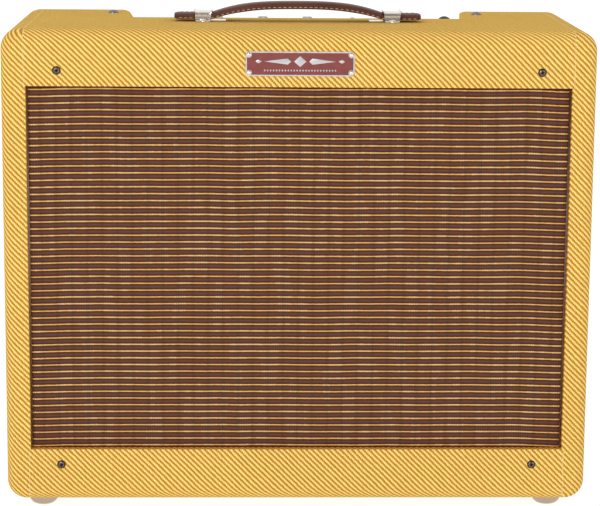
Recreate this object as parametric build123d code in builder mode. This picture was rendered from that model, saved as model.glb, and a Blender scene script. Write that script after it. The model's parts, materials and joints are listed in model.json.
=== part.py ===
"""Valve guitar amplifier in a narrow-panel, twill-covered pine cabinet, with one 12 inch speaker.

Frame: millimetres, +X to the right seen from the front, +Y to the back, +Z up.
The origin is the middle of the floor area that the amplifier covers, on the floor under its feet.
"""
from build123d import *
from math import asin, atan, cos, pi, radians, sin, tan
import os

# ---------------------------------------------------------------- driving dimensions (mm)
WIDTH = 508.0            # cabinet over its cloth, 20 in
HEIGHT = 413.0           # cabinet without feet, 16 1/4 in
DEPTH_TOP = 216.0        # 8 1/2 in
DEPTH_BOTTOM = 241.0     # 9 1/2 in
FOOT_HEIGHT = 12.0
FRONT_PROUD = 1.8        # how far the badge rivets stand out of the front face
BOARD = 19.0             # pine boards, 3/4 in
CLOTH = 1.2              # lacquered twill with its glue
CORNER_R = 17.0          # long edges between sides, top and bottom
FRONT_EDGE_R = 12.0      # edge round the front face
BACK_EDGE_R = 3.0
FIT = 0.05               # radial room round a screw or a turning shaft
SCREW_ROOM = 0.3

# ---------------------------------------------------------------- planes of the cabinet
BOTTOM = FOOT_HEIGHT
TOP = FOOT_HEIGHT + HEIGHT
FRONT = (FRONT_PROUD - DEPTH_BOTTOM) / 2
LEAN = atan((DEPTH_BOTTOM - DEPTH_TOP) / HEIGHT)
HALF = WIDTH / 2
SIDE_IN = HALF - CLOTH - BOARD          # bare inner face of a side board
TOP_IN = TOP - CLOTH - BOARD            # underside of the top board
FLOOR_IN = BOTTOM + CLOTH + BOARD       # upper face of the bottom board
OPEN_X = SIDE_IN - CLOTH                # front opening, half width
OPEN_LOW = BOTTOM + 46.8
OPEN_HIGH = BOTTOM + 365.1
RAIL_BACK = FRONT + 7.0
SEAM_X = SIDE_IN + 0.6                  # where side cloth meets top and bottom cloth
WHOLE_Y = (FRONT - 1, -FRONT + 9)       # past the cabinet's front and back

GRILLE_T = 0.8
BAFFLE_T = 12.7
BAFFLE_FRONT = RAIL_BACK + GRILLE_T
BAFFLE_BACK = BAFFLE_FRONT + BAFFLE_T
BAFFLE_X = SIDE_IN - 3.4
BAFFLE_LOW = FLOOR_IN + 2.0
BAFFLE_HIGH = TOP_IN - 2.0
BACK_T = 8.0
BACK_INSET = 0.6
BACK_X = OPEN_X - 0.8
UPPER_BACK = (TOP_IN - 121.0, TOP_IN - 1.5)
LOWER_BACK = (FLOOR_IN + 1.5, FLOOR_IN + 121.0)
CLEAT = 19.0

# top notch over the control panel
NOTCH_Y = FRONT + 130.0
NOTCH_X = 147.0
NOTCH_BEND = (152.5, FRONT + 185.0)
NOTCH_BACK_X = 163.0

# chassis
SHEET = 1.5
CHASSIS_X = 181.0
CHASSIS_Y = (FRONT + 122.0, FRONT + 203.0)
CHASSIS_LOW = TOP_IN - 64.0
PANEL_Y = FRONT + 168.0                 # centre line of the controls
PITCH = 41.0                            # distance between controls
FUSE_X = 137.0
LAMP_X = 93.0
SWITCH_X = LAMP_X - PITCH
KNOB_XS = {"tone": SWITCH_X - PITCH, "volume_1": SWITCH_X - 2 * PITCH, "volume_2": SWITCH_X - 3 * PITCH}
JACKS = [(x, PANEL_Y + y) for x in (-106.0, -134.0) for y in (-17.0, 15.0)]
BUSH_R = 4.7                            # 3/8 in bushes of pots and jacks
PLUG_R = 3.2                            # bore of a quarter-inch jack
SPEAKER_JACK = (-155.0, FRONT + 165.0)
TUBE_Y = FRONT + 165.0
RECTIFIER_X = 52.0
POWER_XS = (8.0, -36.0)
PREAMP_XS = (-78.0, -118.0)
INLET = (164.0, FRONT + 160.0)

# speaker, on an axis along Y
SPEAKER_Z = 206.0
FLANGE_R = 154.0
CUTOUT_R = 140.0
SPEAKER_PCR = 147.5
COIL_R = 13.5
EDGE_R = 126.0

# strap handle
STRAP_Y = FRONT + 97.5
STRAP_W = 24.0
STRAP_T = 6.0
STRAP_END = 109.0
STRAP_LOW = TOP + 1.6
STRAP_BEND = 72.0
STRAP_SHOULDER = (48.0, 9.8)            # where the bow turns level, and its rise
CLIP_X = 83.5

BADGE_X = 46.3
BADGE_Z = (BOTTOM + 374.5, BOTTOM + 395.5)
FRONT_SCREWS = [(x, z) for x in (-206.0, 206.0) for z in (BOTTOM + 33.3, BOTTOM + 378.5)]
FEET = [(x, y) for x in (-225.0, 225.0) for y in (FRONT + 38.0, FRONT + 205.0)]
CHASSIS_SCREWS = [(x, FRONT + 176.0) for x in (-167.4, 167.4)]
BACK_SCREWS = [
    (x, z)
    for x in (-OPEN_X + 9, OPEN_X - 9)
    for z in (UPPER_BACK[0] + 12, UPPER_BACK[1] - 12, LOWER_BACK[0] + 12, LOWER_BACK[1] - 12)
]
BACK_NORMAL = (0, cos(LEAN), sin(LEAN))


# ---------------------------------------------------------------- helpers
def back_y(z, inset=0.0):
    """Y of the leaning back plane at height z, moved in by inset."""
    return FRONT + DEPTH_BOTTOM - (z - BOTTOM) * tan(LEAN) - inset / cos(LEAN)


def block(x, y, z, mode=Mode.ADD):
    """Upright block between two limits on each axis."""
    middle = [(low + high) / 2 for low, high in (x, y, z)]
    with Locations(tuple(middle)):
        Box(x[1] - x[0], y[1] - y[0], z[1] - z[0], mode=mode)


def rod(start, direction, radius, length, mode=Mode.ADD):
    """Cylinder from start along direction."""
    with Locations(Plane(origin=start, z_dir=direction)):
        Cylinder(radius, length, align=(Align.CENTER, Align.CENTER, Align.MIN), mode=mode)


def turned(origin, direction, steps, mode=Mode.ADD):
    """Solid of revolution. A pair (r, h) is a corner, a four (r, h, r, h) an arc through a point."""
    axis = Vector(direction)
    radial = Vector(0, 1, 0) if abs(axis.X) > 0.5 else Vector(1, 0, 0)
    with BuildSketch(Plane(origin=origin, x_dir=radial, z_dir=radial.cross(axis))) as half:
        with BuildLine():
            here = steps[0][-2:]
            for step in steps[1:] + steps[:1]:
                if len(step) == 4:
                    ThreePointArc(here, step[:2], step[2:])
                elif step != here:
                    Line(here, step)
                here = step[-2:]
        make_face()
    revolve(half.sketch, axis=Axis(origin, direction), mode=mode)


def dome(base_r, base_h, top_h):
    """Step for turned(): a cap that is a slice of a ball, from (base_r, base_h) up to the axis."""
    rise = top_h - base_h
    ball = (base_r**2 + rise**2) / (2 * rise)
    half = asin(base_r / ball) / 2
    return (ball * sin(half), top_h - ball + ball * cos(half), 0, top_h)


def leaning_slab(x, z, inset, thickness, mode=Mode.ADD):
    """Slab parallel to the leaning back plane, inset from it, between limits in X and Z."""
    with BuildSketch(Plane.YZ.offset(x[0])) as section:
        with BuildLine():
            Polyline(
                (back_y(z[0], inset), z[0]),
                (back_y(z[1], inset), z[1]),
                (back_y(z[1], inset + thickness), z[1]),
                (back_y(z[0], inset + thickness), z[0]),
                close=True,
            )
        make_face()
    extrude(section.sketch, amount=x[1] - x[0], mode=mode)


def envelope(inset):
    """Rounded outer form of the cabinet, drawn in by inset all round."""
    with BuildPart() as form:
        with BuildSketch(Plane.YZ):
            with BuildLine():
                Polyline(
                    (FRONT + inset, BOTTOM + inset),
                    (FRONT + inset, TOP - inset),
                    (back_y(TOP - inset, inset), TOP - inset),
                    (back_y(BOTTOM + inset, inset), BOTTOM + inset),
                    close=True,
                )
            make_face()
        extrude(amount=HALF - inset, both=True)
        fillet(form.edges().filter_by(Axis.Y), CORNER_R - inset)
        fillet(form.faces().sort_by(Axis.Y)[0].edges(), FRONT_EDGE_R - inset)
        fillet(form.faces().sort_by(Axis.Y)[-1].edges(), BACK_EDGE_R - inset)
    return form.part


def notch_cut(room):
    """Cut the notch out of the top, made larger by room on every side."""
    front = NOTCH_Y - room
    back = FRONT + DEPTH_TOP + 4
    with BuildSketch(Plane.XY.offset(TOP_IN - 1)) as outline:
        with BuildLine():
            Line((0, front), (NOTCH_X + room, front))
            Line((NOTCH_X + room, front), (NOTCH_BEND[0] + room, NOTCH_BEND[1]))
            ThreePointArc(
                (NOTCH_BEND[0] + room, NOTCH_BEND[1]),
                (NOTCH_BEND[0] + 3.2 + room, NOTCH_BEND[1] + 16),
                (NOTCH_BACK_X + room, back),
            )
            Line((NOTCH_BACK_X + room, back), (0, back))
            Line((0, back), (0, front))
        make_face()
        mirror(about=Plane.YZ)
    extrude(outline.sketch, amount=BOARD + CLOTH + 2, mode=Mode.SUBTRACT)


def bored_for(places, direction, radius, length, back_off=1.0):
    """Holes at places, started back_off before each place."""
    step = Vector(direction)
    for place in places:
        rod(Vector(place) - step * back_off, direction, radius, length + back_off, mode=Mode.SUBTRACT)


def finish(built, name):
    """Label a finished piece and write it out. Two touching parts stay separate solids of one piece."""
    parts = built if isinstance(built, list) else [built]
    piece = Compound([solid for each in parts for solid in each.part.solids()])
    piece.label = name
    export_step(piece, f"parts/{name}.step")


os.makedirs("parts", exist_ok=True)
DOWN = (0, 0, -1)
UP = (0, 0, 1)
BACKWARD = (0, 1, 0)
FAR = 400.0

front_screw_places = [(x, FRONT, z) for x, z in FRONT_SCREWS]
FRONT_SCREW_R = 2.0
foot_places = [(x, y, BOTTOM) for x, y in FEET]
FOOT_NAIL_R = 2.0
FOOT_NAIL = 14.0
clip_screw_places = [(side * CLIP_X, STRAP_Y + across, TOP) for side in (-1, 1) for across in (-17.4, 17.4)]
CLIP_SCREW_R = 1.7
CLIP_SCREW = 14.0
chassis_screw_places = [(x, y, TOP) for x, y in CHASSIS_SCREWS]
CHASSIS_SCREW_R = 2.4
back_screw_places = [(x, back_y(z, BACK_INSET), z) for x, z in BACK_SCREWS]
back_screw_inward = tuple(-c for c in BACK_NORMAL)
BACK_SCREW_R = 1.9
BACK_SCREW = 20.0
RIVET_IN = 2.9           # rivets from the badge's edges
badge_rivet_places = [
    (side * (BADGE_X - RIVET_IN), FRONT, z) for side in (-1, 1) for z in (BADGE_Z[0] + RIVET_IN, BADGE_Z[1] - RIVET_IN)
]
RIVET_R = 0.9
RIVET = 6.5

# ---------------------------------------------------------------- pine cabinet boards
wood_form = envelope(CLOTH)
cloth_form = envelope(0)


def side_board(name, side):
    """Side board with the cabinet's rounded edges; side is -1 on the left and 1 on the right."""
    with BuildPart() as board:
        add(wood_form)
        limits = sorted((side * SIDE_IN, side * HALF))
        block(limits, WHOLE_Y, (BOTTOM, TOP), mode=Mode.INTERSECT)
    finish(board, name)


side_board("left_side_panel", -1)
side_board("right_side_panel", 1)

with BuildPart() as top_panel:
    add(wood_form)
    block((-SIDE_IN, SIDE_IN), WHOLE_Y, (TOP_IN, TOP), mode=Mode.INTERSECT)
    notch_cut(CLOTH)
    bored_for(badge_rivet_places, BACKWARD, RIVET_R + FIT, RIVET)
    bored_for(clip_screw_places, DOWN, CLIP_SCREW_R + FIT, CLIP_SCREW)
    bored_for(chassis_screw_places, DOWN, CHASSIS_SCREW_R + FIT, BOARD + CLOTH + 1)
finish(top_panel, "top_panel")

with BuildPart() as bottom_panel:
    add(wood_form)
    block((-SIDE_IN, SIDE_IN), WHOLE_Y, (BOTTOM, FLOOR_IN), mode=Mode.INTERSECT)
    bored_for(foot_places, UP, FOOT_NAIL_R + FIT, FOOT_NAIL)
finish(bottom_panel, "bottom_panel")


with BuildPart() as front_rails:
    block((-SIDE_IN, SIDE_IN), (FRONT + CLOTH, RAIL_BACK), (OPEN_HIGH + CLOTH, TOP_IN))
    block((-SIDE_IN, SIDE_IN), (FRONT + CLOTH, RAIL_BACK), (FLOOR_IN, OPEN_LOW - CLOTH))
    bored_for(front_screw_places, BACKWARD, FRONT_SCREW_R + FIT, FAR)
    bored_for(badge_rivet_places, BACKWARD, RIVET_R + FIT, RIVET)
finish(front_rails, "front_rails")

# ---------------------------------------------------------------- twill covering
def notch_lining():
    """Cloth on the notch's edges, between the top board's two faces."""
    with BuildPart() as lining:
        block((-NOTCH_BACK_X - 9, NOTCH_BACK_X + 9), (NOTCH_Y - 9, -FRONT), (TOP_IN, TOP - CLOTH))
        notch_cut(0)
    with BuildPart() as uncut:
        block((-NOTCH_BACK_X - 9, NOTCH_BACK_X + 9), (NOTCH_Y - 9, -FRONT), (TOP_IN, TOP - CLOTH))
        notch_cut(CLOTH)
    with BuildPart() as both:
        add(lining.part)
        add(uncut.part, mode=Mode.SUBTRACT)
        leaning_slab((-HALF, HALF), (TOP_IN - 5, TOP + 5), -20, 20, mode=Mode.SUBTRACT)
    return both.part


with BuildPart() as covering:
    add(cloth_form)
    add(wood_form, mode=Mode.SUBTRACT)
    block((-SIDE_IN, SIDE_IN), (FRONT + CLOTH, RAIL_BACK), (OPEN_LOW - CLOTH, OPEN_HIGH + CLOTH))
    block((-OPEN_X, OPEN_X), (FRONT - 1, RAIL_BACK + 1), (OPEN_LOW, OPEN_HIGH), mode=Mode.SUBTRACT)
    block((-SIDE_IN, SIDE_IN), (0, -FRONT + 9), (FLOOR_IN, TOP_IN), mode=Mode.SUBTRACT)
    notch_cut(0)
    add(notch_lining())
    bored_for(front_screw_places, BACKWARD, FRONT_SCREW_R + FIT, RAIL_BACK - FRONT)
    bored_for(badge_rivet_places, BACKWARD, RIVET_R + FIT, RIVET)
    bored_for(foot_places, UP, FOOT_NAIL_R + FIT, CLOTH * 2)
    bored_for(clip_screw_places, DOWN, CLIP_SCREW_R + FIT, CLOTH * 2)
    bored_for(chassis_screw_places, DOWN, CHASSIS_SCREW_R + FIT, CLOTH * 2)


def cloth_piece(name, keeps, drops=()):
    """The part of the covering inside the keep blocks and outside the drop blocks."""
    with BuildPart() as kept:
        for limits in keeps:
            block(*limits)
        for limits in drops:
            block(*limits, mode=Mode.SUBTRACT)
    with BuildPart() as piece:
        add(covering.part)
        add(kept.part, mode=Mode.INTERSECT)
    finish(piece, name)


def side_limits(side):
    """Blocks that hold a side's cloth: its own board and its lip in the front opening."""
    outer = sorted((side * SEAM_X, side * (HALF + 1)))
    lip = sorted((side * OPEN_X, side * SEAM_X))
    return [(outer, WHOLE_Y, (BOTTOM - 1, TOP + 1)), (lip, (FRONT - 1, RAIL_BACK), (OPEN_LOW, OPEN_HIGH))]


MIDDLE_X = (-SEAM_X, SEAM_X)
LIPS = [side_limits(side)[1] for side in (-1, 1)]
cloth_piece("left_side_cloth", side_limits(-1))
cloth_piece("right_side_cloth", side_limits(1))
cloth_piece("top_cloth", [(MIDDLE_X, WHOLE_Y, (SPEAKER_Z, TOP + 1))], LIPS)
cloth_piece("bottom_cloth", [(MIDDLE_X, WHOLE_Y, (BOTTOM - 1, SPEAKER_Z))], LIPS)

# ---------------------------------------------------------------- baffle, grille cloth and back
speaker_screw_places = [
    (SPEAKER_PCR * cos(radians(a)), SPEAKER_Z + SPEAKER_PCR * sin(radians(a))) for a in (45, 135, 225, 315)
]
SPEAKER_SCREW_R = 2.4
GASKET_T = 3.0
EDGE_T = 0.6
FLANGE_FRONT = BAFFLE_BACK + GASKET_T + EDGE_T

with BuildPart() as speaker_baffle:
    block((-BAFFLE_X, BAFFLE_X), (BAFFLE_FRONT, BAFFLE_BACK), (BAFFLE_LOW, BAFFLE_HIGH))
    rod((0, BAFFLE_FRONT - 1, SPEAKER_Z), BACKWARD, CUTOUT_R, BAFFLE_T + 2, mode=Mode.SUBTRACT)
    bored_for(front_screw_places, BACKWARD, FRONT_SCREW_R + FIT, FAR)
    bored_for([(x, BAFFLE_FRONT, z) for x, z in speaker_screw_places], BACKWARD, SPEAKER_SCREW_R + FIT, FAR)
    bored_for([(x, BAFFLE_FRONT, z) for x, z in speaker_screw_places], BACKWARD, 5.2, 3.0)
finish(speaker_baffle, "speaker_baffle")

with BuildPart() as grille_cloth:
    outer_x = (-BAFFLE_X - GRILLE_T, BAFFLE_X + GRILLE_T)
    block(outer_x, (RAIL_BACK, BAFFLE_BACK), (BAFFLE_LOW - GRILLE_T, BAFFLE_HIGH + GRILLE_T))
    block((-BAFFLE_X, BAFFLE_X), (BAFFLE_FRONT, BAFFLE_BACK + 1), (BAFFLE_LOW, BAFFLE_HIGH), mode=Mode.SUBTRACT)
    bored_for(front_screw_places, BACKWARD, FRONT_SCREW_R + FIT, FAR)
finish(grille_cloth, "grille_cloth")

with BuildPart() as back_cleats:
    inset = BACK_INSET + BACK_T
    for low, high in (UPPER_BACK, LOWER_BACK):
        for side in (-1, 1):
            limits = sorted((side * (SIDE_IN - CLEAT), side * SIDE_IN))
            leaning_slab(limits, (low, high), inset, CLEAT)
    bored_for(back_screw_places, back_screw_inward, BACK_SCREW_R + FIT, BACK_SCREW)
finish(back_cleats, "back_cleats")


def back_panel(name, z):
    """Covered back panel, let in between the side boards in the leaning back plane."""
    with BuildPart() as panel:
        leaning_slab((-BACK_X, BACK_X), z, BACK_INSET, BACK_T)
        fillet(panel.edges().filter_by(Axis.X), 1.6)
        bored_for(back_screw_places, back_screw_inward, BACK_SCREW_R + FIT, BACK_SCREW)
    finish(panel, name)


back_panel("upper_back_panel", UPPER_BACK)
back_panel("lower_back_panel", LOWER_BACK)

# ---------------------------------------------------------------- feet, handle and badge
with BuildPart() as glide_feet:
    for place in foot_places:
        glide = [(0, 0), (12.5, 0), (12.5, 3), (12.2, 8.5, 8.5, FOOT_HEIGHT), (0, FOOT_HEIGHT)]
        turned(place, DOWN, glide)
        rod(place, UP, FOOT_NAIL_R, FOOT_NAIL)
finish(glide_feet, "glide_feet")

with BuildPart() as handle_strap:
    middle_z = STRAP_LOW + STRAP_T / 2
    shoulder_x, shoulder_rise = STRAP_SHOULDER
    slope = atan(shoulder_rise / (STRAP_BEND - shoulder_x))
    ramp = shoulder_rise / sin(slope)
    bend_r = 20.0
    bow_r = (ramp - 0.2) / tan(slope / 2) - bend_r
    with BuildLine(Plane.XZ.offset(-STRAP_Y)) as strap_path:
        FilletPolyline(
            (-STRAP_END, middle_z),
            (-STRAP_BEND, middle_z),
            (-shoulder_x, middle_z + shoulder_rise),
            (shoulder_x, middle_z + shoulder_rise),
            (STRAP_BEND, middle_z),
            (STRAP_END, middle_z),
            radius=[bend_r, bow_r, bow_r, bend_r],
        )
    with BuildSketch(Plane(origin=(-STRAP_END, STRAP_Y, middle_z), x_dir=(0, 1, 0), z_dir=(1, 0, 0))):
        RectangleRounded(STRAP_W, STRAP_T, 2.2)
    sweep()
finish(handle_strap, "handle_strap")

CLIP_T = 1.2
CLIP_GAP = 0.8           # between the strap and the clip over it
CLIP_LIP = 4.0           # flared ends of the clip over the strap
CLIP_FOOT_T = 0.8
CLIP_LENGTH = 16.0
with BuildPart() as handle_clips:
    strap_top = STRAP_LOW + STRAP_T
    for side in (-1, 1):
        x = (side * CLIP_X - CLIP_LENGTH / 2, side * CLIP_X + CLIP_LENGTH / 2)
        leg_out = STRAP_W / 2 + 0.4 + CLIP_T
        leg_in = STRAP_W / 2 + 0.4
        foot = 21.5
        block(x, (STRAP_Y - leg_out, STRAP_Y + leg_out), (TOP, strap_top + CLIP_GAP + CLIP_T))
        block(x, (STRAP_Y - leg_in, STRAP_Y + leg_in), (STRAP_LOW - 0.2, strap_top + CLIP_GAP), mode=Mode.SUBTRACT)
        block((side * CLIP_X - 6, side * CLIP_X + 6), (STRAP_Y - foot, STRAP_Y + foot), (TOP, TOP + CLIP_FOOT_T))
        inner = sorted((side * CLIP_X, side * (CLIP_X - 20)))
        block(inner, (STRAP_Y - 8, STRAP_Y + 8), (TOP, TOP + CLIP_FOOT_T))
        lip_z = (strap_top + CLIP_GAP, strap_top + CLIP_LIP)
        for edge in x:
            block((edge - 0.5, edge + 0.5), (STRAP_Y - leg_out, STRAP_Y + leg_out), lip_z)
    bored_for(clip_screw_places, DOWN, CLIP_SCREW_R + FIT, 4)
finish(handle_clips, "handle_clips")

with BuildPart() as wood_screws:
    for place in clip_screw_places:
        seat = Vector(place) + Vector(0, 0, CLIP_FOOT_T)
        turned(seat, UP, [(0, 0), (3.4, 0), (3.1, 1.0), dome(3.1, 1.0, 2.2)])
        rod(seat, DOWN, CLIP_SCREW_R, CLIP_SCREW)
        bored_for([seat + Vector(0, 0, 2.3)], DOWN, 0.7, 1.3)
    for place in back_screw_places:
        turned(place, BACK_NORMAL, [(0, 0), (5.5, 0), (5.2, 0.7), (3.9, 1.1), dome(3.9, 1.1, 2.1)])
        rod(place, back_screw_inward, BACK_SCREW_R, BACK_SCREW)
        recess = Vector(place) + Vector(BACK_NORMAL) * 2.2
        bored_for([recess], back_screw_inward, 0.8, 1.3)
finish(wood_screws, "wood_screws")

BADGE_T = 0.8
BADGE_RIM = 1.2
BADGE_FIELD = 0.35       # depth of the field inside the rim
RIVET_HEAD_R = 2.2
with BuildPart() as badge_plate:
    badge_middle = (0, sum(BADGE_Z) / 2)
    badge_height = BADGE_Z[1] - BADGE_Z[0]
    with BuildSketch(Plane.XZ.offset(-FRONT)):
        with Locations(badge_middle):
            RectangleRounded(2 * BADGE_X, badge_height, 3.5)
    extrude(amount=BADGE_T)
    with BuildSketch(Plane.XZ.offset(-FRONT + BADGE_T)):
        with Locations(badge_middle):
            RectangleRounded(2 * (BADGE_X - BADGE_RIM), badge_height - 2 * BADGE_RIM, 2.5)
        with Locations(*[(x, z) for x, y, z in badge_rivet_places]):
            Circle(RIVET_HEAD_R + 0.3, mode=Mode.SUBTRACT)
    extrude(amount=-BADGE_FIELD, mode=Mode.SUBTRACT)
    bored_for(badge_rivet_places, BACKWARD, RIVET_R + FIT, 6, back_off=3)
finish(badge_plate, "badge_plate")

with BuildPart() as badge_rivets:
    for place in badge_rivet_places:
        seat = Vector(place) - Vector(0, BADGE_T, 0)
        turned(seat, (0, -1, 0), [(0, 0), (RIVET_HEAD_R, 0), dome(RIVET_HEAD_R, 0, FRONT_PROUD - BADGE_T)])
        rod(seat, BACKWARD, RIVET_R, RIVET)
finish(badge_rivets, "badge_rivets")

# ---------------------------------------------------------------- chassis and its fittings
PANEL_TOP = TOP_IN
PANEL_UNDER = TOP_IN - SHEET
CHASSIS_FLOOR = CHASSIS_LOW + SHEET
OCTAL_R = 14.0
NOVAL_R = 9.6
octal_places = [(x, TUBE_Y, CHASSIS_LOW) for x in (RECTIFIER_X, *POWER_XS)]
noval_places = [(x, TUBE_Y, CHASSIS_LOW) for x in PREAMP_XS]
jack_places = [(x, y, PANEL_TOP) for x, y in JACKS]
knob_places = [(x, PANEL_Y, PANEL_TOP) for x in KNOB_XS.values()]
switch_place = (SWITCH_X, PANEL_Y, PANEL_TOP)
lamp_place = (LAMP_X, PANEL_Y, PANEL_TOP)
fuse_place = (FUSE_X, PANEL_Y, PANEL_TOP)
speaker_jack_place = (*SPEAKER_JACK, CHASSIS_LOW)
SWITCH_BUSH_R = 5.8
LAMP_R = 8.2
FUSE_R = 6.2
POWER_TX = (112.0, FRONT + 162.0)
POWER_TX_BOLTS = [(POWER_TX[0] + dx, POWER_TX[1] + dy, CHASSIS_LOW) for dx in (-24, 24) for dy in (-28, 28)]
OUTPUT_TX = (-10.0, TOP_IN - 32.0)
OUTPUT_TX_BOLTS = [(OUTPUT_TX[0] + dx, CHASSIS_Y[0], OUTPUT_TX[1]) for dx in (-35, 35)]
TX_BOLT_R = 2.0
INLET_X = 20.0
INLET_Y = 27.0

LIP = 9.0                # flange round the chassis's open back
# The tray, open at the back, and the control panel as a second solid on top of its walls.
with BuildPart() as chassis_tray:
    block((-CHASSIS_X, CHASSIS_X), CHASSIS_Y, (CHASSIS_LOW, PANEL_UNDER))
    inside = (-CHASSIS_X + SHEET, CHASSIS_X - SHEET)
    block(inside, (CHASSIS_Y[0] + SHEET, CHASSIS_Y[1] - SHEET), (CHASSIS_FLOOR, PANEL_TOP), mode=Mode.SUBTRACT)
    opening = (-CHASSIS_X + LIP, CHASSIS_X - LIP)
    block(opening, (0, CHASSIS_Y[1] + 1), (CHASSIS_FLOOR + LIP, PANEL_UNDER - LIP), mode=Mode.SUBTRACT)
    deep = SHEET + 1
    bored_for(octal_places, UP, OCTAL_R + SCREW_ROOM, deep)
    bored_for(noval_places, UP, NOVAL_R + SCREW_ROOM, deep)
    bored_for([speaker_jack_place], UP, BUSH_R + SCREW_ROOM, deep)
    bored_for(POWER_TX_BOLTS, UP, TX_BOLT_R + FIT, deep)
    bored_for(OUTPUT_TX_BOLTS, BACKWARD, TX_BOLT_R + FIT, deep)
    cut_x = (INLET[0] - INLET_X / 2 - 0.3, INLET[0] + INLET_X / 2 + 0.3)
    cut_y = (INLET[1] - INLET_Y / 2 - 0.3, INLET[1] + INLET_Y / 2 + 0.3)
    block(cut_x, cut_y, (CHASSIS_LOW - 1, CHASSIS_FLOOR + 1), mode=Mode.SUBTRACT)
with BuildPart() as control_panel:
    block((-CHASSIS_X, CHASSIS_X), CHASSIS_Y, (PANEL_UNDER, PANEL_TOP))
    bored_for(jack_places + knob_places, DOWN, BUSH_R + SCREW_ROOM, deep)
    bored_for([switch_place], DOWN, SWITCH_BUSH_R + SCREW_ROOM, deep)
    bored_for([lamp_place], DOWN, LAMP_R + SCREW_ROOM, deep)
    bored_for([fuse_place], DOWN, FUSE_R + SCREW_ROOM, deep)
    bored_for([(x, y, PANEL_TOP) for x, y in CHASSIS_SCREWS], DOWN, CHASSIS_SCREW_R + FIT, deep)
finish([chassis_tray, control_panel], "chassis")

jack_seats = [(place, DOWN) for place in jack_places] + [(speaker_jack_place, UP)]
BUSH_OUT = 4.6
with BuildPart() as quarter_inch_jacks:
    for place, inward in jack_seats:
        outward = tuple(-c for c in inward)
        top = Vector(place) + Vector(outward) * BUSH_OUT
        tube = [(PLUG_R, 0), (BUSH_R - 0.4, 0), (BUSH_R, 0.5), (BUSH_R, BUSH_OUT + SHEET)]
        frame = [(8.5, BUSH_OUT + SHEET), (8.5, BUSH_OUT + SHEET + 3), (PLUG_R, BUSH_OUT + SHEET + 3)]
        turned(top, inward, tube + frame)
        base = Vector(place) + Vector(inward) * (SHEET + 3)
        direction = inward[2]
        z = sorted((base.Z, base.Z + direction * 14))
        block((base.X + 5.5, base.X + 7.0), (base.Y - 4, base.Y + 4), z)
finish(quarter_inch_jacks, "quarter_inch_jacks")

with BuildPart() as panel_nuts:
    nut_seats = [(place, UP, BUSH_R, 7.2, 2.4) for place in jack_places + knob_places]
    nut_seats += [(speaker_jack_place, DOWN, BUSH_R, 7.2, 2.4), (switch_place, UP, SWITCH_BUSH_R, 8.4, 2.2)]
    for place, outward, bore, half, thick in nut_seats:
        with BuildSketch(Plane(origin=place, z_dir=outward)):
            RegularPolygon(half, 6)
            Circle(bore + FIT, mode=Mode.SUBTRACT)
        extrude(amount=thick)
finish(panel_nuts, "panel_nuts")

SHAFT_R = 3.15
POT_BUSH_OUT = 6.0
with BuildPart() as potentiometers:
    for place in knob_places:
        top = Vector(place) + Vector(0, 0, POT_BUSH_OUT)
        under = POT_BUSH_OUT + SHEET
        steps = [(SHAFT_R + FIT, 0), (BUSH_R, 0), (BUSH_R, under), (12.0, under), (12.0, under + 11)]
        turned(top, DOWN, steps + [(0, under + 11), (0, under + 8), (SHAFT_R + FIT, under + 8)])
        lug_z = PANEL_UNDER - 8
        for dx in (-6, 0, 6):
            block((place[0] + dx - 1, place[0] + dx + 1), (PANEL_Y - 19, PANEL_Y - 10.8), (lug_z, lug_z + 0.8))
finish(potentiometers, "potentiometers")

KNOB_LOW = 7.0
KNOB_TOP = 17.8
for name, x in KNOB_XS.items():
    with BuildPart() as shaft:
        rod((x, PANEL_Y, PANEL_UNDER - 7), UP, SHAFT_R, KNOB_LOW + 6 + SHEET + 7)
    finish(shaft, f"{name}_shaft")
    with BuildPart() as knob:
        base = Vector(x, PANEL_Y, PANEL_TOP + KNOB_LOW)
        turned(base, UP, [(0, 0), (11.0, 0), (10.2, 3.2), (7.2, 6.5), (6.6, 7.5), (0, 7.5)])
        with BuildSketch(Plane.XY.offset(PANEL_TOP + KNOB_LOW)):
            with BuildLine():
                tip = PANEL_Y - 17.0
                Polyline(
                    (x - 3.6, PANEL_Y + 9),
                    (x - 4.4, PANEL_Y),
                    (x - 1.0, tip),
                    (x + 1.0, tip),
                    (x + 4.4, PANEL_Y),
                    (x + 3.6, PANEL_Y + 9),
                    close=True,
                )
            make_face()
        extrude(amount=KNOB_TOP - KNOB_LOW)
        rod((x, PANEL_Y, PANEL_TOP + KNOB_LOW - 1), UP, SHAFT_R + FIT, 7.1, mode=Mode.SUBTRACT)
    finish(knob, f"{name}_knob")

TOGGLE_TILT = 12.0
TOGGLE_PIVOT = PANEL_TOP + 1.0
with BuildPart() as power_switch:
    under = 8.0 + SHEET
    top = Vector(switch_place) + Vector(0, 0, 8.0)
    mouth = [(4.0, 0), (SWITCH_BUSH_R, 0), (SWITCH_BUSH_R, under)]
    turned(top, DOWN, mouth + [(8.5, under), (8.5, under + 2), (4.0, under + 2)])
    block((SWITCH_X - 9, SWITCH_X + 9), (PANEL_Y - 13, PANEL_Y + 13), (PANEL_UNDER - 18, PANEL_UNDER - 2))
    rod((SWITCH_X, PANEL_Y, PANEL_UNDER - 8), UP, 4.0, 12, mode=Mode.SUBTRACT)
finish(power_switch, "power_switch")

with BuildPart() as power_switch_lever:
    tilt = radians(TOGGLE_TILT)
    along = (0, -sin(tilt), cos(tilt))
    pivot = Vector(SWITCH_X, PANEL_Y, TOGGLE_PIVOT)
    bat = [(0, 0), (1.5, 0), (1.7, 8), (2.6, 14), (2.6, 15.5), dome(2.6, 15.5, 18)]
    turned(pivot, along, bat)
    with Locations(tuple(pivot)):
        Sphere(2.6)
finish(power_switch_lever, "power_switch_lever")

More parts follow.
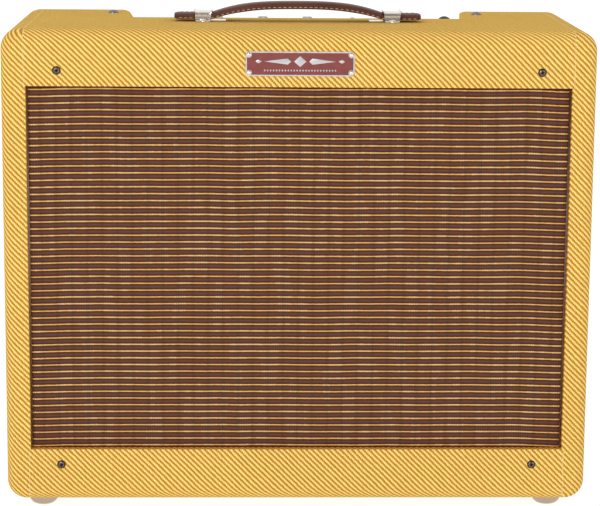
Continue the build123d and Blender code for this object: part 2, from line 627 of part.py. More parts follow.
with BuildPart() as pilot_lamp_holder:
    top = Vector(lamp_place) + Vector(0, 0, 3.0)
    rim = [(7.0, 0), (9.6, 0), (9.6, 3), (LAMP_R, 3), (LAMP_R, 25), (5, 25), (5, 24), (7.0, 24)]
    turned(top, DOWN, rim)
finish(pilot_lamp_holder, "pilot_lamp_holder")

with BuildPart() as pilot_lamp_jewel:
    base = Vector(lamp_place) + Vector(0, 0, -3.0)
    turned(base, UP, [(0, 0), (6.9, 0), (6.9, 6), (6.6, 7.5), dome(6.6, 7.5, 13.0)])
finish(pilot_lamp_jewel, "pilot_lamp_jewel")

FUSE_CAP_LOW = 3.2
FUSE_CAP_TOP = 20.0
with BuildPart() as fuse_holder:
    top = Vector(fuse_place) + Vector(0, 0, FUSE_CAP_LOW)
    deep = FUSE_CAP_LOW + 32
    tube = [(4.2, 0), (9.0, 0), (9.0, FUSE_CAP_LOW), (FUSE_R, FUSE_CAP_LOW), (FUSE_R, deep)]
    turned(top, DOWN, tube + [(0, deep), (0, deep - 1.5), (4.2, deep - 1.5)])
finish(fuse_holder, "fuse_holder")

with BuildPart() as fuse_cap:
    low = Vector(fuse_place) + Vector(0, 0, FUSE_CAP_LOW + 0.1)
    grip = FUSE_CAP_TOP - FUSE_CAP_LOW - 0.1
    turned(low, UP, [(0, 0), (7.4, 0), (7.0, grip - 4), dome(7.0, grip - 4, grip)])
    rod(low + Vector(0, 0, 0.2), DOWN, 4.1, 9.0)
finish(fuse_cap, "fuse_cap")

with BuildPart() as power_transformer:
    x, y = POWER_TX
    block((x - 32, x + 32), (y - 36, y + 36), (CHASSIS_LOW - 40, CHASSIS_LOW - 22))
    with BuildSketch(Plane.XY.offset(CHASSIS_LOW - 22)):
        with Locations((x, y)):
            RectangleRounded(60, 68, 6)
    extrude(amount=22, taper=8)
    with BuildSketch(Plane.XY.offset(CHASSIS_LOW - 40)):
        with Locations((x, y)):
            RectangleRounded(60, 68, 6)
    extrude(amount=-24, taper=14)
    bored_for(POWER_TX_BOLTS, DOWN, TX_BOLT_R + FIT, 70)
finish(power_transformer, "power_transformer")

with BuildPart() as output_transformer:
    x, z = OUTPUT_TX
    block((x - 27, x + 27), (CHASSIS_Y[0] - 34, CHASSIS_Y[0] - 12), (z - 22, z + 22))
    block((x - 15, x + 15), (CHASSIS_Y[0] - 44, CHASSIS_Y[0] - 2), (z - 14, z + 14))
    block((x - 42, x + 42), (CHASSIS_Y[0] - 2, CHASSIS_Y[0]), (z - 10, z + 10))
    for side in (-1, 1):
        strap = sorted((x + side * 27, x + side * 29))
        block(strap, (CHASSIS_Y[0] - 35, CHASSIS_Y[0]), (z - 10, z + 10))
    bored_for(OUTPUT_TX_BOLTS, (0, -1, 0), TX_BOLT_R + FIT, 6)
finish(output_transformer, "output_transformer")

with BuildPart() as chassis_bolts:
    for place in chassis_screw_places:
        turned(place, UP, [(0, 0), (5.0, 0), (4.6, 1.2), dome(4.6, 1.2, 3.0)])
        rod(place, DOWN, CHASSIS_SCREW_R, TOP - PANEL_UNDER + 6)
        nut = (place[0], place[1], PANEL_UNDER)
        turned(nut, DOWN, [(0, 0), (5.0, 0), (5.0, 4.0), (0, 4.0)])
    for place in POWER_TX_BOLTS:
        rod(Vector(place) - Vector(0, 0, 44), UP, TX_BOLT_R, 44 + SHEET + 4)
        turned((place[0], place[1], CHASSIS_FLOOR), UP, [(0, 0), (4, 0), (4, 3), (0, 3)])
    for place in OUTPUT_TX_BOLTS:
        seat = Vector(place) - Vector(0, 2, 0)
        turned(seat, (0, -1, 0), [(0, 0), (3.8, 0), (3.2, 1.6), (0, 2.4)])
        rod(seat, BACKWARD, TX_BOLT_R, 2 + SHEET + 3.2)
        turned((place[0], place[1] + SHEET, place[2]), BACKWARD, [(0, 0), (4, 0), (4, 3), (0, 3)])
finish(chassis_bolts, "chassis_bolts")

# ---------------------------------------------------------------- valves
SOCKET_UNDER = 4.0       # how far a socket's body hangs under the chassis
with BuildPart() as tube_sockets:
    for place, radius in [(p, OCTAL_R) for p in octal_places] + [(p, NOVAL_R) for p in noval_places]:
        low = Vector(place) - Vector(0, 0, SOCKET_UNDER)
        ring = [(3.6, 0), (radius + 2.5, 0), (radius + 2.5, SOCKET_UNDER), (radius, SOCKET_UNDER)]
        turned(low, UP, ring + [(radius, SOCKET_UNDER + 8), (3.6, SOCKET_UNDER + 8)])
        ears = (place[0] - radius - 7, place[0] + radius + 7)
        block(ears, (TUBE_Y - 4, TUBE_Y + 4), (CHASSIS_LOW - 1.2, CHASSIS_LOW))
        rod(low - Vector(0, 0, 1), UP, 3.6, 20, mode=Mode.SUBTRACT)
        pins = 8 if radius == OCTAL_R else 9
        with Locations(Vector(place) + Vector(0, 0, 8)):
            with PolarLocations(radius - 4, pins):
                Cylinder(0.8, 8, align=(Align.CENTER, Align.CENTER, Align.MIN))
finish(tube_sockets, "tube_sockets")

octal_seats = [Vector(p) - Vector(0, 0, SOCKET_UNDER) for p in octal_places]
noval_seats = [Vector(p) - Vector(0, 0, SOCKET_UNDER) for p in noval_places]
BASE_H = 14.0
with BuildPart() as tube_bases:
    for seat in octal_seats:
        cup = [(0, 0), (16.5, 0), (16.5, BASE_H), (14.6, BASE_H), (14.6, 4), (0, 4)]
        turned(seat, DOWN, cup)
        rod(seat, UP, 3.4, 9)
finish(tube_bases, "tube_bases")

GLASS_T = 1.0


def bulb(seat, radius, start, end):
    """Closed glass envelope hanging from seat, with a rounded tip."""
    inner = radius - GLASS_T
    outside = [(0, start), (radius, start), (radius, end - radius * 0.7), dome(radius, end - radius * 0.7, end)]
    turned(seat, DOWN, outside)
    cavity_end = end - inner * 0.7 - GLASS_T
    cavity = [(0, start + 2), (inner, start + 2), (inner, cavity_end), dome(inner, cavity_end, end - GLASS_T)]
    turned(seat, DOWN, cavity, mode=Mode.SUBTRACT)


with BuildPart() as rectifier_tube:
    bulb(octal_seats[0], 14.5, 4.0, 86.0)
finish(rectifier_tube, "rectifier_tube")
with BuildPart() as power_tubes:
    for seat in octal_seats[1:]:
        bulb(seat, 14.5, 4.0, 80.0)
finish(power_tubes, "power_tubes")
with BuildPart() as preamp_tubes:
    for seat in noval_seats:
        bulb(seat, 10.2, 0.6, 50.0)
finish(preamp_tubes, "preamp_tubes")

with BuildPart() as tube_electrodes:
    for seat, half_x, half_y, low, high in [
        (octal_seats[0], 9.0, 4.5, 20, 62),
        *[(seat, 9.0, 5.0, 20, 60) for seat in octal_seats[1:]],
        *[(seat, 6.0, 3.0, 12, 38) for seat in noval_seats],
    ]:
        z = (seat.Z - high, seat.Z - low)
        block((seat.X - half_x, seat.X + half_x), (seat.Y - half_y, seat.Y + half_y), z)
        for end in (seat.Z - high, seat.Z - low):
            rod((seat.X, seat.Y, end - 0.4), UP, half_x, 0.8)
        post_low = 2.7 if half_x < 7 else 6.1
        for dx in (-half_x * 0.6, half_x * 0.6):
            rod((seat.X + dx, seat.Y, seat.Z - low - 1), UP, 0.5, low + 1 - post_low)
finish(tube_electrodes, "tube_electrodes")

# ---------------------------------------------------------------- circuit inside the chassis
BOARD_X = (-88.0, 78.0)
BOARD_Z = (CHASSIS_LOW + 9.0, CHASSIS_LOW + 44.0)
BOARD_FACE = CHASSIS_Y[0] + SHEET + 6.0
with BuildPart() as eyelet_board:
    block(BOARD_X, (BOARD_FACE - 2.4, BOARD_FACE), BOARD_Z)
    for x in (BOARD_X[0] + 8, BOARD_X[1] - 8):
        for z in (BOARD_Z[0] + 5, BOARD_Z[1] - 5):
            rod((x, CHASSIS_Y[0] + SHEET, z), BACKWARD, 3.0, BOARD_FACE - 2.4 - CHASSIS_Y[0] - SHEET)
finish(eyelet_board, "eyelet_board")

FILTER_CAPS = [30.0, 48.0, 66.0]
COUPLING_CAPS = [-72.0, -54.0, -36.0, -18.0, 0.0]
RESISTORS = [-81.0, -63.0, -45.0, -27.0, -9.0, 11.0, 17.0]
with BuildPart() as board_components:
    for xs, radius, low, length in (
        (FILTER_CAPS, 7.5, 2, 31),
        (COUPLING_CAPS, 4.5, 7, 21),
        (RESISTORS, 2.0, 12, 11),
    ):
        for x in xs:
            rod((x, BOARD_FACE + radius + 0.1, BOARD_Z[0] + low), UP, radius, length)
finish(board_components, "board_components")

with BuildPart() as mains_inlet:
    x, y = INLET
    block((x - INLET_X / 2, x + INLET_X / 2), (y - INLET_Y / 2, y + INLET_Y / 2), (CHASSIS_LOW, CHASSIS_LOW + 20))
    with BuildSketch(Plane.XY.offset(CHASSIS_LOW - 2.5)):
        with Locations((x, y)):
            RectangleRounded(INLET_X + 5, INLET_Y + 9, 3)
    extrude(amount=2.5)
    block((x - 7.5, x + 7.5), (y - 11.5, y + 11.5), (CHASSIS_LOW - 3, CHASSIS_LOW + 16), mode=Mode.SUBTRACT)
    for dx, dy in ((-2.5, -7.0), (2.5, 0.0), (-2.5, 7.0)):
        block((x + dx - 2, x + dx + 2), (y + dy - 1, y + dy + 1), (CHASSIS_LOW + 4, CHASSIS_LOW + 27))
finish(mains_inlet, "mains_inlet")

# ---------------------------------------------------------------- speaker
SPEAKER_FACE = (0, BAFFLE_BACK, SPEAKER_Z)
frame_origin = (0, FLANGE_FRONT, SPEAKER_Z)
PLATE_H = 66.0           # depth of the magnet's front plate behind the flange
METAL = 1.5
ARMS = 6
with BuildPart() as speaker_frame:
    shell = [
        (FLANGE_R, 0),
        (FLANGE_R, METAL),
        (CUTOUT_R - 1, METAL),
        (CUTOUT_R - 5, 14),
        (72, PLATE_H - METAL + 0.2),
        (68, PLATE_H),
        (28, PLATE_H),
        (28, PLATE_H - METAL),
        (67, PLATE_H - METAL),
        (70.5, PLATE_H - METAL - 1.5),
        (CUTOUT_R - 6.6, 13.2),
        (CUTOUT_R - 2.6, 0),
    ]
    turned(frame_origin, BACKWARD, shell)
    for arm in range(ARMS):
        angle = 360 / ARMS * arm
        middle = Plane(origin=frame_origin, x_dir=(cos(radians(angle)), 0, sin(radians(angle))), z_dir=(0, -1, 0))
        with BuildSketch(middle) as window:
            with Locations((101, 0)):
                Trapezoid(82, 42, 72, rotation=-90)
            fillet(window.vertices(), 6)
        extrude(amount=-(PLATE_H - METAL - 4), mode=Mode.SUBTRACT)
    flange_holes = [(x, FLANGE_FRONT, z) for x, z in speaker_screw_places]
    bored_for(flange_holes, BACKWARD, SPEAKER_SCREW_R + FIT, 6)
finish(speaker_frame, "speaker_frame")

with BuildPart() as speaker_gasket:
    turned(SPEAKER_FACE, BACKWARD, [(141.5, 0), (153.5, 0), (153.5, GASKET_T), (141.5, GASKET_T)])
    bored_for([(x, BAFFLE_BACK, z) for x, z in speaker_screw_places], BACKWARD, SPEAKER_SCREW_R + FIT, 6)
finish(speaker_gasket, "speaker_gasket")

with BuildPart() as baffle_bolts:
    for place in front_screw_places:
        turned(place, (0, -1, 0), [(0, 0), (3.6, 0), (3.3, 0.8), dome(3.3, 0.8, 1.7)])
        rod(place, BACKWARD, FRONT_SCREW_R, BAFFLE_BACK - FRONT + 6)
        bored_for([Vector(place) - Vector(0, 1.7, 0)], BACKWARD, 0.7, 1.2)
        nut = Vector(place) + Vector(0, BAFFLE_BACK - FRONT, 0)
        turned(nut, BACKWARD, [(0, 0), (9, 0), (9, 1.2), (3.5, 1.2), (3.5, 5), (0, 5)])
    for x, z in speaker_screw_places:
        turned((x, BAFFLE_FRONT, z), BACKWARD, [(0, 0), (5.0, 0), (5.0, 2.9), (0, 2.9)])
        rod((x, BAFFLE_FRONT, z), BACKWARD, SPEAKER_SCREW_R, BAFFLE_T + 13)
        turned((x, FLANGE_FRONT + METAL, z), BACKWARD, [(0, 0), (4.6, 0), (4.6, 4), (0, 4)])
finish(baffle_bolts, "baffle_bolts")

POLE_R = 12.2
GAP_R = 14.6
with BuildPart() as speaker_magnet:
    pot = [
        (0, PLATE_H),
        (POLE_R, PLATE_H),
        (POLE_R, PLATE_H + 28),
        (30, PLATE_H + 28),
        (30, PLATE_H + 6),
        (GAP_R, PLATE_H + 6),
        (GAP_R, PLATE_H),
        (45, PLATE_H),
        (45, PLATE_H + 6),
        (36, PLATE_H + 6),
        (36, PLATE_H + 30),
        (31, PLATE_H + 36),
        (0, PLATE_H + 36),
    ]
    turned(frame_origin, BACKWARD, pot)
finish(speaker_magnet, "speaker_magnet")

CONE_T = 1.0
NECK_H = 46.0
with BuildPart() as voice_coil:
    coil = [(COIL_R - 0.5, NECK_H), (COIL_R, NECK_H), (COIL_R, PLATE_H + 12), (COIL_R - 0.5, PLATE_H + 12)]
    turned(frame_origin, BACKWARD, coil)
finish(voice_coil, "voice_coil")

EDGE_H = 6.0
NECK_R = COIL_R + 0.1
with BuildPart() as speaker_cone:
    front_curve = (66, 22, EDGE_R, EDGE_H)
    back_curve = (66, 22 + CONE_T * 1.1, NECK_R, NECK_H + CONE_T * 1.3)
    sheet = [(NECK_R, NECK_H), front_curve, (EDGE_R, EDGE_H + CONE_T), back_curve]
    turned(frame_origin, BACKWARD, sheet)
finish(speaker_cone, "speaker_cone")

CAP_R = 26.0
with BuildPart() as dust_cap:
    cap_base = 36.0
    outside = dome(CAP_R, -cap_base, 7 - cap_base)
    inside = dome(CAP_R - 1.2, -cap_base, 6 - cap_base)
    cap = [(CAP_R, -cap_base), outside, (0, 6 - cap_base)]
    inner_mid = inside[:2]
    turned(frame_origin, (0, -1, 0), cap + [(*inner_mid, CAP_R - 1.2, -cap_base)])
finish(dust_cap, "dust_cap")

with BuildPart() as cone_edge:
    inner = EDGE_R + 0.1
    edge = [
        (153.0, -EDGE_T),
        (153.0, 0),
        (137.0, 0),
        (135.2, 3.9, 131.6, EDGE_H + 1),
        (inner, EDGE_H + 1),
        (inner, EDGE_H + 0.4),
        (131.2, EDGE_H + 0.4),
        (134.7, 3.4, 136.6, -EDGE_T),
    ]
    turned(frame_origin, BACKWARD, edge)
    bored_for(flange_holes, BACKWARD, SPEAKER_SCREW_R + FIT, 6, back_off=3)
finish(cone_edge, "cone_edge")

SPIDER_H = 57.0
with BuildPart() as speaker_spider:
    web = [(COIL_R + 0.1, SPIDER_H), (52, SPIDER_H), (57, PLATE_H - METAL - 0.6), (62, PLATE_H - METAL - 0.6)]
    under = [(62, PLATE_H - METAL), (56.6, PLATE_H - METAL), (51.6, SPIDER_H + 0.6), (COIL_R + 0.1, SPIDER_H + 0.6)]
    turned(frame_origin, BACKWARD, web + under)
finish(speaker_spider, "speaker_spider")

# ---------------------------------------------------------------- speaker lead
LEAD_R = 2.2
PLUG_BODY = 34.0
TERMINAL_ANGLE = radians(150)
TERMINAL_R = (94.2, 112.0)
TERMINAL_H = (47.0, 49.4)
LEAD_END_R = 107.0
plug_seat = Vector(*SPEAKER_JACK, CHASSIS_LOW - BUSH_OUT)
with BuildPart() as speaker_plug:
    body = [(0, 0), (5.6, 0), (6.4, 3), (6.4, PLUG_BODY - 8), (4.4, PLUG_BODY), (0, PLUG_BODY)]
    turned(plug_seat, DOWN, body)
    rod(plug_seat, UP, PLUG_R - FIT, 20)
finish(speaker_plug, "speaker_plug")

outward = (cos(TERMINAL_ANGLE), 0, sin(TERMINAL_ANGLE))
with BuildPart() as speaker_terminals:
    with BuildSketch(Plane(origin=frame_origin, x_dir=outward, z_dir=BACKWARD).offset(TERMINAL_H[0])):
        with Locations((sum(TERMINAL_R) / 2, 0)):
            Rectangle(TERMINAL_R[1] - TERMINAL_R[0], 22)
    extrude(amount=TERMINAL_H[1] - TERMINAL_H[0])
finish(speaker_terminals, "speaker_terminals")

lead_end_x = LEAD_END_R * cos(TERMINAL_ANGLE)
lead_end_y = FLANGE_FRONT + TERMINAL_H[1]
lead_end_z = SPEAKER_Z + LEAD_END_R * sin(TERMINAL_ANGLE)
LEAD_ROUTE = [
    (SPEAKER_JACK[0], SPEAKER_JACK[1], plug_seat.Z - PLUG_BODY),
    (SPEAKER_JACK[0], SPEAKER_JACK[1], plug_seat.Z - PLUG_BODY - 32),
    (SPEAKER_JACK[0] + 7, SPEAKER_JACK[1] - 9, plug_seat.Z - PLUG_BODY - 64),
    (SPEAKER_JACK[0] + 27, SPEAKER_JACK[1] - 26, plug_seat.Z - PLUG_BODY - 80),
    (SPEAKER_JACK[0] + 52, SPEAKER_JACK[1] - 44, plug_seat.Z - PLUG_BODY - 67),
    (lead_end_x - 1, lead_end_y + 28, lead_end_z - 5),
    (lead_end_x, lead_end_y + 0.8, lead_end_z),
]
route = [Vector(*point) for point in LEAD_ROUTE]
runs = [(b - a).length for a, b in zip(route, route[1:])]
lead_radii = []
for before, point, after, first, second in zip(route, route[1:], route[2:], runs, runs[1:]):
    turn = (point - before).get_angle(after - point)
    lead_radii.append(0.45 * min(first, second) / tan(radians(turn) / 2))
    print(f"lead: runs {first:.0f} and {second:.0f}, turn {turn:.0f}, radius {lead_radii[-1]:.0f}")
with BuildPart() as speaker_lead:
    with BuildLine() as lead_path:
        FilletPolyline(*LEAD_ROUTE, radius=lead_radii)
    with BuildSketch(Plane(origin=LEAD_ROUTE[0], z_dir=DOWN)):
        Circle(LEAD_R)
    sweep()
lead_length = sum(edge.length for edge in lead_path.edges())
print(f"lead length {lead_length:.1f}, volume {speaker_lead.part.volume:.1f}")
print(f"section times length {pi * LEAD_R**2 * lead_length:.1f}")
finish(speaker_lead, "speaker_lead")
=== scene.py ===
"""Looks of a valve guitar amplifier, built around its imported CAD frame.

Metres, +X to the right seen from the front, +Y to the back, +Z up, floor at Z 0.
"""
import json
from math import asin, atan2, cos, degrees, hypot, pi, radians, sin, sqrt

import bmesh
import bpy
from mathutils import Matrix, Vector


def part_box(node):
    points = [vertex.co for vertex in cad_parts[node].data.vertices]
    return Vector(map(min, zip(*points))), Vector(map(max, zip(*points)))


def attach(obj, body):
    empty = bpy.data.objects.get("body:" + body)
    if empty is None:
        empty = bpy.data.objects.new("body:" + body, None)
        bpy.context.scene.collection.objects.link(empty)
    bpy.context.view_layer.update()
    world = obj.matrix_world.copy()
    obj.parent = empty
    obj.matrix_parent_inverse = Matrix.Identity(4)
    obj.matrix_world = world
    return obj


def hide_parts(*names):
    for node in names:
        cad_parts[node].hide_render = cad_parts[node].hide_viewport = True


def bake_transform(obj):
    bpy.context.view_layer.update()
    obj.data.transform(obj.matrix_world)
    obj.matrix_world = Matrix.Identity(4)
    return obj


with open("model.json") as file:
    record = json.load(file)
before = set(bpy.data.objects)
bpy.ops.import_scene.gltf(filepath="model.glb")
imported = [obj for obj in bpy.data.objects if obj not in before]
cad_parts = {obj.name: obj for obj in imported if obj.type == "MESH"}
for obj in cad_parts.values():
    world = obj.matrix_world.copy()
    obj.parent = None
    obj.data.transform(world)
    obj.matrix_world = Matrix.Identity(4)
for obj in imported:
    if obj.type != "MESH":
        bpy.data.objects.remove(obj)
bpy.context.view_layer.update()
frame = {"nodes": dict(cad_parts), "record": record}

MM = 0.001
NODES = frame["nodes"]
SLOT_OF = {part["node"]: part["material_slot"] for part in frame["record"]["subparts"]}
BODY_OF = {node: body for body, nodes in frame["record"]["behaviour"]["bodies"].items() for node in nodes}

# ---------------- places, from the frame
SIDE_LOW, SIDE_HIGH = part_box("right_side_cloth")
FRONT = SIDE_LOW.y
TOP = SIDE_HIGH.z
BOTTOM = SIDE_LOW.z
SEAM_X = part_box("top_cloth")[1].x
PANEL_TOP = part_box("chassis")[1].z
CHASSIS_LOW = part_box("chassis")[0].z
SPEAKER_Z = (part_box("speaker_frame")[0].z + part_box("speaker_frame")[1].z) / 2
OPEN_LOW, OPEN_HIGH = BOTTOM + 46.8 * MM, BOTTOM + 365.1 * MM      # front opening
OPEN_MIDDLE, OPEN_HALF = (OPEN_LOW + OPEN_HIGH) / 2, (OPEN_HIGH - OPEN_LOW) / 2


def link(made):
    """Put an object in the scene."""
    bpy.context.scene.collection.objects.link(made)


def middle(node):
    """Centre of a node's box."""
    low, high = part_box(node)
    return (low + high) / 2


# ---------------- camera
camera = bpy.data.objects.new("camera", bpy.data.cameras.new("camera"))
LENS, SENSOR = 132.0, 36.0
CAMERA_PLACE = (-0.0515, -1.9786, 0.5901)
YAW, PITCH, ROLL = -0.0283, 0.1892, -0.008
camera.data.lens = LENS
camera.data.sensor_width = SENSOR
turn = Matrix.Rotation(YAW, 3, "Z") @ Matrix.Rotation(-PITCH, 3, "X") @ Matrix.Rotation(ROLL, 3, "Y")
aim = Matrix((turn.col[0], turn.col[2], -turn.col[1])).transposed().to_4x4()
camera.matrix_world = Matrix.Translation(CAMERA_PLACE) @ aim
link(camera)
bpy.context.scene.camera = camera


# ---------------- materials
def linear(colour):
    """sRGB 0-255 to linear RGBA."""
    parts = [c / 255 for c in colour]
    return (*[p / 12.92 if p <= 0.04045 else ((p + 0.055) / 1.055) ** 2.4 for p in parts], 1.0)


class Shader:
    """One procedural material on object coordinates; x, y and z are metres in the shared frame."""

    def __init__(self, name, **constants):
        self.material = bpy.data.materials.new(name)
        self.material.use_nodes = True
        self.tree = self.material.node_tree
        self.surface = self.tree.nodes["Principled BSDF"]
        for socket, value in constants.items():
            self.surface.inputs[socket.replace("_", " ")].default_value = value
        self.place = self.tree.nodes.new("ShaderNodeTexCoord").outputs["Object"]
        self.x, self.y, self.z = self.node("ShaderNodeSeparateXYZ", Vector=self.place).outputs
        self.normal = None

    def put(self, socket, value):
        if isinstance(value, bpy.types.NodeSocket):
            self.tree.links.new(value, socket)
        else:
            socket.default_value = value

    def node(self, kind, **inputs):
        made = self.tree.nodes.new(kind)
        for name, value in inputs.items():
            self.put(made.inputs[name], value)
        return made

    def math(self, operation, *values, clamp=False):
        made = self.tree.nodes.new("ShaderNodeMath")
        made.operation = operation
        made.use_clamp = clamp
        for socket, value in zip(made.inputs, values):
            self.put(socket, value)
        return made.outputs[0]

    def add(self, *values):
        total = values[0]
        for value in values[1:]:
            total = self.math("ADD", total, value)
        return total

    def times(self, a, b):
        return self.math("MULTIPLY", a, b)

    def wave(self, phase, kind="SINE"):
        """0 to 1 and back, with the phase in radians."""
        return self.math("MULTIPLY_ADD", self.math(kind, phase), 0.5, 0.5)

    def step(self, value, low, high):
        """Smooth 0 to 1 as value goes from low to high."""
        made = self.node("ShaderNodeMapRange", Value=value)
        made.interpolation_type = "SMOOTHSTEP"
        made.inputs["From Min"].default_value = low
        made.inputs["From Max"].default_value = high
        return made.outputs[0]

    def scaled(self, x, y, z):
        """Coordinates stretched per axis, to draw noise out into grain or fibres."""
        made = self.tree.nodes.new("ShaderNodeMapping")
        self.put(made.inputs["Vector"], self.place)
        made.inputs["Scale"].default_value = (x, y, z)
        return made.outputs[0]

    def vector(self, x, y, z=0.0):
        return self.node("ShaderNodeCombineXYZ", X=x, Y=y, Z=z).outputs[0]

    def noise(self, scale, detail=2.0, place=None):
        made = self.node("ShaderNodeTexNoise", Scale=scale, Detail=detail, Vector=place or self.place)
        return made.outputs[0]

    def drift(self, amount, scale, detail, place=None):
        """Noise about zero, amount from its lowest to its highest."""
        return self.times(self.math("SUBTRACT", self.noise(scale, detail, place), 0.5), amount)

    def cells(self, scale, place=None, feature="F1"):
        made = self.node("ShaderNodeTexVoronoi", Scale=scale, Vector=place or self.place)
        made.feature = feature
        return made.outputs["Distance"]

    def ramp(self, factor, *stops):
        made = self.node("ShaderNodeValToRGB", Fac=factor)
        while len(made.color_ramp.elements) < len(stops):
            made.color_ramp.elements.new(0.5)
        for element, (position, colour) in zip(made.color_ramp.elements, stops):
            element.position = position
        for element, (position, colour) in zip(made.color_ramp.elements, stops):
            element.color = linear(colour)
        return made.outputs[0]

    def mix(self, factor, a, b, blend="MIX"):
        made = self.tree.nodes.new("ShaderNodeMix")
        made.data_type = "RGBA"
        made.blend_type = blend
        made.clamp_result = True
        for index, value in ((0, factor), (6, a), (7, b)):
            if isinstance(value, tuple) and len(value) == 3:
                value = linear(value)
            self.put(made.inputs[index], value)
        return made.outputs[2]

    def shade(self, colour, factor, amount):
        """Colour made darker or lighter by amount as factor goes from 0 to 1."""
        grey = self.math("MULTIPLY_ADD", self.math("SUBTRACT", factor, 0.5), 2 * amount, 1.0)
        return self.mix(1.0, colour, self.vector(grey, grey, grey), "MULTIPLY")

    def colour(self, value):
        self.put(self.surface.inputs["Base Color"], value)

    def rough(self, factor, low, high):
        self.put(self.surface.inputs["Roughness"], self.math("MULTIPLY_ADD", factor, high - low, low))

    def bump(self, height, depth):
        """Raise the surface by depth metres where height is 1."""
        made = self.node("ShaderNodeBump", Height=height, Distance=depth)
        made.inputs["Strength"].default_value = 1.0
        if self.normal:
            self.put(made.inputs["Normal"], self.normal)
        self.normal = made.outputs[0]
        self.put(self.surface.inputs["Normal"], self.normal)


STRIPE = 3.5 * MM        # twill stripe to stripe, across it
STRAND = 1.75 * MM       # strand to strand along a stripe
LIP_DEPTH = 12 * MM      # how far back into the opening the lip's twill gets painted shade
SQRT_HALF = sqrt(0.5)


def twill(name, plan, seam=False, lining=None):
    """Lacquered diagonal twill. plan(shader) gives the cloth's own across and up."""
    s = Shader(name, Roughness=0.66, Specular_IOR_Level=0.0)
    across, up = plan(s)
    flat = s.vector(across, up)
    sway = s.drift(0.55, 20, 1, flat)
    slub = s.drift(0.34, 300, 2, flat)
    down_twill = s.times(s.add(across, up), SQRT_HALF / STRIPE)
    along = s.times(s.math("SUBTRACT", across, up), SQRT_HALF)
    lean = s.add(along, s.times(down_twill, STRIPE * 0.5))
    strand = s.wave(s.add(s.times(lean, 2 * pi / STRAND), s.times(slub, 5.0)))
    phase = s.math("FRACT", s.add(down_twill, sway, slub, s.times(strand, 0.16)))
    stripe = s.ramp(
        phase,
        (0.0, (248, 217, 134)),
        (0.16, (242, 207, 118)),
        (0.3, (220, 176, 86)),
        (0.46, (182, 126, 50)),
        (0.6, (172, 114, 42)),
        (0.74, (194, 142, 60)),
        (0.88, (236, 197, 106)),
        (1.0, (248, 217, 134)),
    )
    fleck = s.noise(1400, 2, flat)
    colour = s.shade(stripe, strand, 0.16)
    colour = s.shade(colour, fleck, 0.34)
    colour = s.shade(colour, s.noise(7, 3, flat), 0.07)
    if seam:
        edge = s.math("SUBTRACT", SEAM_X, s.math("ABSOLUTE", s.x))
        fray = s.add(edge, s.drift(3.0 * MM, 420, 2))
        line = s.math("SUBTRACT", 1.0, s.step(fray, 0.0, 1.0 * MM))
        colour = s.mix(s.times(line, 0.55), colour, (250, 224, 172))
    # Painted shade on the front opening's lip: twill inside the opening, from 0.6 mm back, is multiplied
    # towards a darker orange.
    depth = s.math("SUBTRACT", s.y, FRONT)
    in_opening = s.times(
        s.math("LESS_THAN", s.math("ABSOLUTE", s.x), SEAM_X - 0.2 * MM),
        s.math("LESS_THAN", s.math("ABSOLUTE", s.math("SUBTRACT", s.z, OPEN_MIDDLE)),
               OPEN_HALF + 0.4 * MM))
    in_opening = s.times(in_opening, s.math("LESS_THAN", depth, LIP_DEPTH))
    lip = s.times(in_opening, s.step(depth, 0.6 * MM, 3.0 * MM))
    colour = s.mix(s.times(lip, 0.7), colour, s.mix(1.0, colour, (255, 196, 112), "MULTIPLY"))
    raised = s.wave(s.times(phase, 2 * pi), "COSINE")
    if lining:
        normal = s.node("ShaderNodeNewGeometry").outputs["True Normal"]
        facing = s.node("ShaderNodeSeparateXYZ", Vector=normal)
        inner = s.math("LESS_THAN", facing.outputs[1], -0.5)
        bare = s.times(inner, lining(s))
        wood = s.ramp(s.noise(9, 4, s.scaled(0.5, 1, 7)), (0.3, (196, 152, 98)), (0.7, (222, 184, 132)))
        colour = s.mix(bare, colour, wood)
        raised = s.times(raised, s.math("SUBTRACT", 1.0, bare))
    s.colour(colour)
    s.bump(raised, 0.3 * MM)
    s.bump(s.add(s.times(strand, 0.5), s.times(fleck, 0.5)), 0.12 * MM)
    return s.material


def side_plan(side):
    """Cloth pulled back over the rounded front edge and along a side."""
    ease = 10 * MM

    def plan(s):
        depth = s.math("SUBTRACT", s.y, FRONT)
        wrapped = s.math("SQRT", s.math("MULTIPLY_ADD", depth, depth, ease**2))
        wrapped = s.math("SUBTRACT", wrapped, ease)
        return s.math("MULTIPLY_ADD", wrapped, side, s.x), s.z
    return plan


def top_plan(s):
    return s.x, s.add(s.z, s.math("SUBTRACT", s.y, FRONT))


def bottom_plan(s):
    return s.x, s.math("SUBTRACT", s.z, s.math("SUBTRACT", s.y, FRONT))


def back_plan(s):
    return s.math("MULTIPLY", s.x, -1.0), s.z


def margin(node, width):
    """1 further than width inside a back panel's outline, seen from the back."""
    low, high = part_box(node)

    def inside(s):
        x_room = s.math("SUBTRACT", high.x - width, s.math("ABSOLUTE", s.x))
        z_room = s.math("SUBTRACT", (high.z - low.z) / 2 - width,
                        s.math("ABSOLUTE", s.math("SUBTRACT", s.z, (low.z + high.z) / 2)))
        return s.math("GREATER_THAN", s.math("MINIMUM", x_room, z_room), 0.0)
    return inside


GRILLE_PITCH = 6.026 * MM
GRILLE_SHIFT = -0.8 * MM
WARP_RIB = 13.0 * MM


